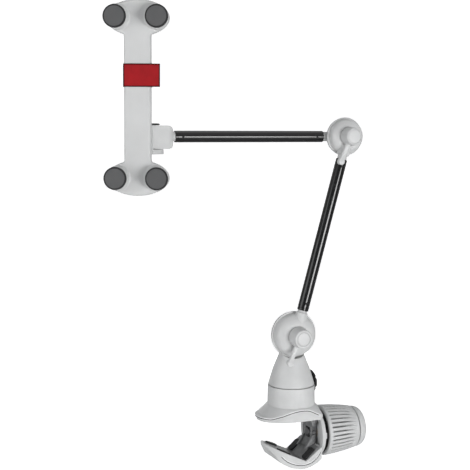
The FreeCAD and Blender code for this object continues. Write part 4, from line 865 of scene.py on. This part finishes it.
# Front half of the bead along the shell's lower edge, its section, and the dark strip beside it, a painted line
# of shade
SHELL_EDGE = [(-19.6, -19.8, -35.0), (-17.0, -21.1, -37.9), (-14.2, -22.25, -40.1), (-10.6, -23.3, -42.0),
              (-6.5, -23.9, -43.5), (-2.5, -24.0, -44.5), (1.0, -24.0, -44.9), (4.2, -24.0, -45.1),
              (6.8, -24.0, -44.9), (10.8, -24.0, -44.0), (14.4, -24.0, -42.4), (17.5, -24.0, -40.1),
              (20.1, -24.0, -37.0), (22.0, -24.0, -33.8)]
SHELL_BEAD = [(-0.3, -0.3), (0.06, -0.28), (0.3, -0.05), (0.36, 0.25), (0.3, 0.6), (0.06, 0.85), (-0.3, 0.9)]
SHELL_GROOVE_SHADE = [(-0.3, -0.95), (0.05, -0.95), (0.05, -0.28), (-0.3, -0.28)]
TIP_BEGINS, TIP_FULL = 20, 30
NECK_GROOVE_TOP, NECK_GROOVE_DEEP, NECK_WALL = 34.88, 1.4, 20


def swept_strip(name, places, section, material):
    """Thin strip along places, each a point with the way out of the surface there. Section is (out, up)."""
    form = bmesh.new()
    rows = [[form.verts.new(point + out * far + Vector((0, 0, up))) for far, up in section]
            for point, out in places]
    skinned(form, rows)
    form.faces.new(rows[0])
    form.faces.new(list(reversed(rows[-1])))
    return mesh_piece(name, form, CLAMP, material)


def brim_line():
    """Places along the brim's edge, from the back of the ring round the nose to its front."""
    half, long, middle, right = 25.8, 35.8, -3.1, 18.9
    start = (middle, half)
    plan = [(right - k * (right - middle) / 12, half) for k in range(12)]
    for via, end in (((-0.4226, 0.9063), (-0.766, 0.6428)), ((-1, 0), (-0.766, -0.6428)),
                     ((-0.4226, -0.9063), (0, -1))):
        via, end = ((middle + x * long, y * half) for x, y in (via, end))
        plan += arc_through(start, via, end, 14)[:-1]
        start = end
    plan += [(middle + k * (right - middle) / 12, -half) for k in range(13)]
    places = []
    for k, (x, y) in enumerate(plan):
        before, after = plan[max(0, k - 1)], plan[min(len(plan) - 1, k + 1)]
        along = Vector((after[0] - before[0], after[1] - before[1], 0)).normalized()
        reach = math.hypot(x, y)
        for (near, high), (far, low) in zip(HAT_SLOPE, HAT_SLOPE[1:]):
            if reach <= far:
                break
        height = high + (low - high) * (reach - near) / (far - near)
        places.append((Vector((x, y, height)), Vector((along.y, -along.x, 0))))
    return places


def brim_trim():
    """Rolled edge of the brim, its lighter silver a painted highlight, and under it a dark strip of painted
    shade in the joint.
    """
    places = brim_line()
    for name, section, material, slot in (("brim_bead", BRIM_BEAD, HIGHLIGHT_SILVER, "silver"),
                                          ("brim_joint_shade", BRIM_JOINT_SHADE, BLACK_PLASTIC, "black_plastic")):
        piece = swept_strip(name, places, section, material)
        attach(piece, BODY_OF_NODE["upper_jaw"])


def shell_trim():
    """Raised line in lighter silver, a painted highlight, with a dark strip of painted shade beside it, along
    the lower edge of the jaw's shell, front and back.
    """
    form = bmesh.new()
    for side in (1, -1):
        line = [Vector((x, y * side, z)) for x, y, z in SHELL_EDGE]
        rows, dark = [], []
        for k, point in enumerate(line):
            along = (line[min(len(line) - 1, k + 1)] - line[max(0, k - 1)]).normalized()
            out = Vector((0, -1, 0))
            if abs(along.y) > 1e-3:
                out = Vector((along.y, -along.x, 0)).normalized()
            if out.y * side > 0:
                out = -out
            across = along.cross(out).normalized()
            if across.z < 0:
                across = -across
            rows.append([form.verts.new(point + out * far + across * up) for far, up in SHELL_BEAD])
            dark.append([form.verts.new(point + out * far + across * up) for far, up in SHELL_GROOVE_SHADE])
        for strip, shade in ((rows, 0), (dark, 1)):
            skinned(form, strip, shade)
            form.faces.new(strip[0])
            form.faces.new(strip[-1])
    # Lighter silver for the bead as a painted highlight; dark steel for the strip beside it as painted shade
    piece = mesh_piece("shell_bead", form, CLAMP, HIGHLIGHT_SILVER)
    piece.data.materials.append(DARK_STEEL)
    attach(piece, BODY_OF_NODE["jaw_shell"])


def jaw_scoop():
    """The jaw's shell, the underside of its tip drawn up thin and round."""
    piece = eased_copy("jaw_shell", 0.9)
    for vert in piece.data.vertices:
        x, y, z = (value / MM for value in vert.co)
        inner_face = -29.3 - 0.45 * (x + 32.5)
        if x < -TIP_BEGINS and z < inner_face:
            vert.co.z += (1.6 + 0.2 * abs(y)) * smooth_step(-x, TIP_BEGINS, TIP_FULL) * MM


def neck_moulding():
    """The neck with a groove at its foot, where it turns."""
    piece = eased_copy("neck_shell")
    form = bmesh.new()
    form.from_mesh(piece.data)
    for height in (NECK_GROOVE_TOP - 0.02, NECK_GROOVE_TOP + 0.02):
        bmesh.ops.bisect_plane(form, geom=form.verts[:] + form.edges[:] + form.faces[:],
                               plane_co=(0, 0, height * MM), plane_no=(0, 0, 1))
    for vert in form.verts:
        out = math.hypot(vert.co.x, vert.co.y)
        if vert.co.z < NECK_GROOVE_TOP * MM and out > NECK_WALL * MM:
            vert.co.x *= 1 - NECK_GROOVE_DEEP * MM / out
            vert.co.y *= 1 - NECK_GROOVE_DEEP * MM / out
    form.to_mesh(piece.data)
    form.free()


set_camera()
studio()
floor_sheet()

ribbed_knob()
knob_cap()
thrust_washer()
front_half("base_drum_front", LOWER_ARM, radius=23.2, deep=BASE_DEEP, hub=10.6, collar=3.4, towards=1)
front_half("top_drum_front", TOP_ELBOW, radius=18.7, deep=TOP_DEEP, hub=9.6, collar=5.2, towards=-1)
lock_lever("base_lock_lever", "base_lever_cap", NECK, boss=10.6, boss_long=14.6, deep=BASE_DEEP)
lock_lever("top_lock_lever", "top_lever_cap", TOP_ELBOW @ turned("Y", -LOWER_LEAN), boss=9.6, boss_long=13.8,
           deep=TOP_DEEP)
arm_tube("lower_tube", "lower_tube_pins", LOWER_ARM, layer=LOWER_LAYER, start=26.6, end=184.7)
arm_tube("upper_tube", "upper_tube_pins", UPPER_ARM, layer=UPPER_LAYER, start=21.3, end=176.8)
holder_plate()
for side_word, x_side in (("left", -1), ("right", 1)):
    for end_word, z_side in (("bottom", -1), ("top", 1)):
        grip_pad("grip_pad_%s_%s" % (end_word, side_word), x_side, z_side)
red_band()
brim_trim()
shell_trim()
neck_moulding()
jaw_scoop()
for node in ("upper_jaw", "pivot_bracket", "jaw_frame", "top_drum_rear", "swing_knuckle", "swing_bracket",
             "tilt_block", "plate_back_cover", "pan_lock_knob", "swing_lock_knob"):
    eased_copy(node)
for node, solid in cad.items():
    solid.data.materials.clear()
    solid.data.materials.append(OILED_STEEL if node == "draw_rod" else FINISH_OF_SLOT[SLOT_OF_NODE[node]])
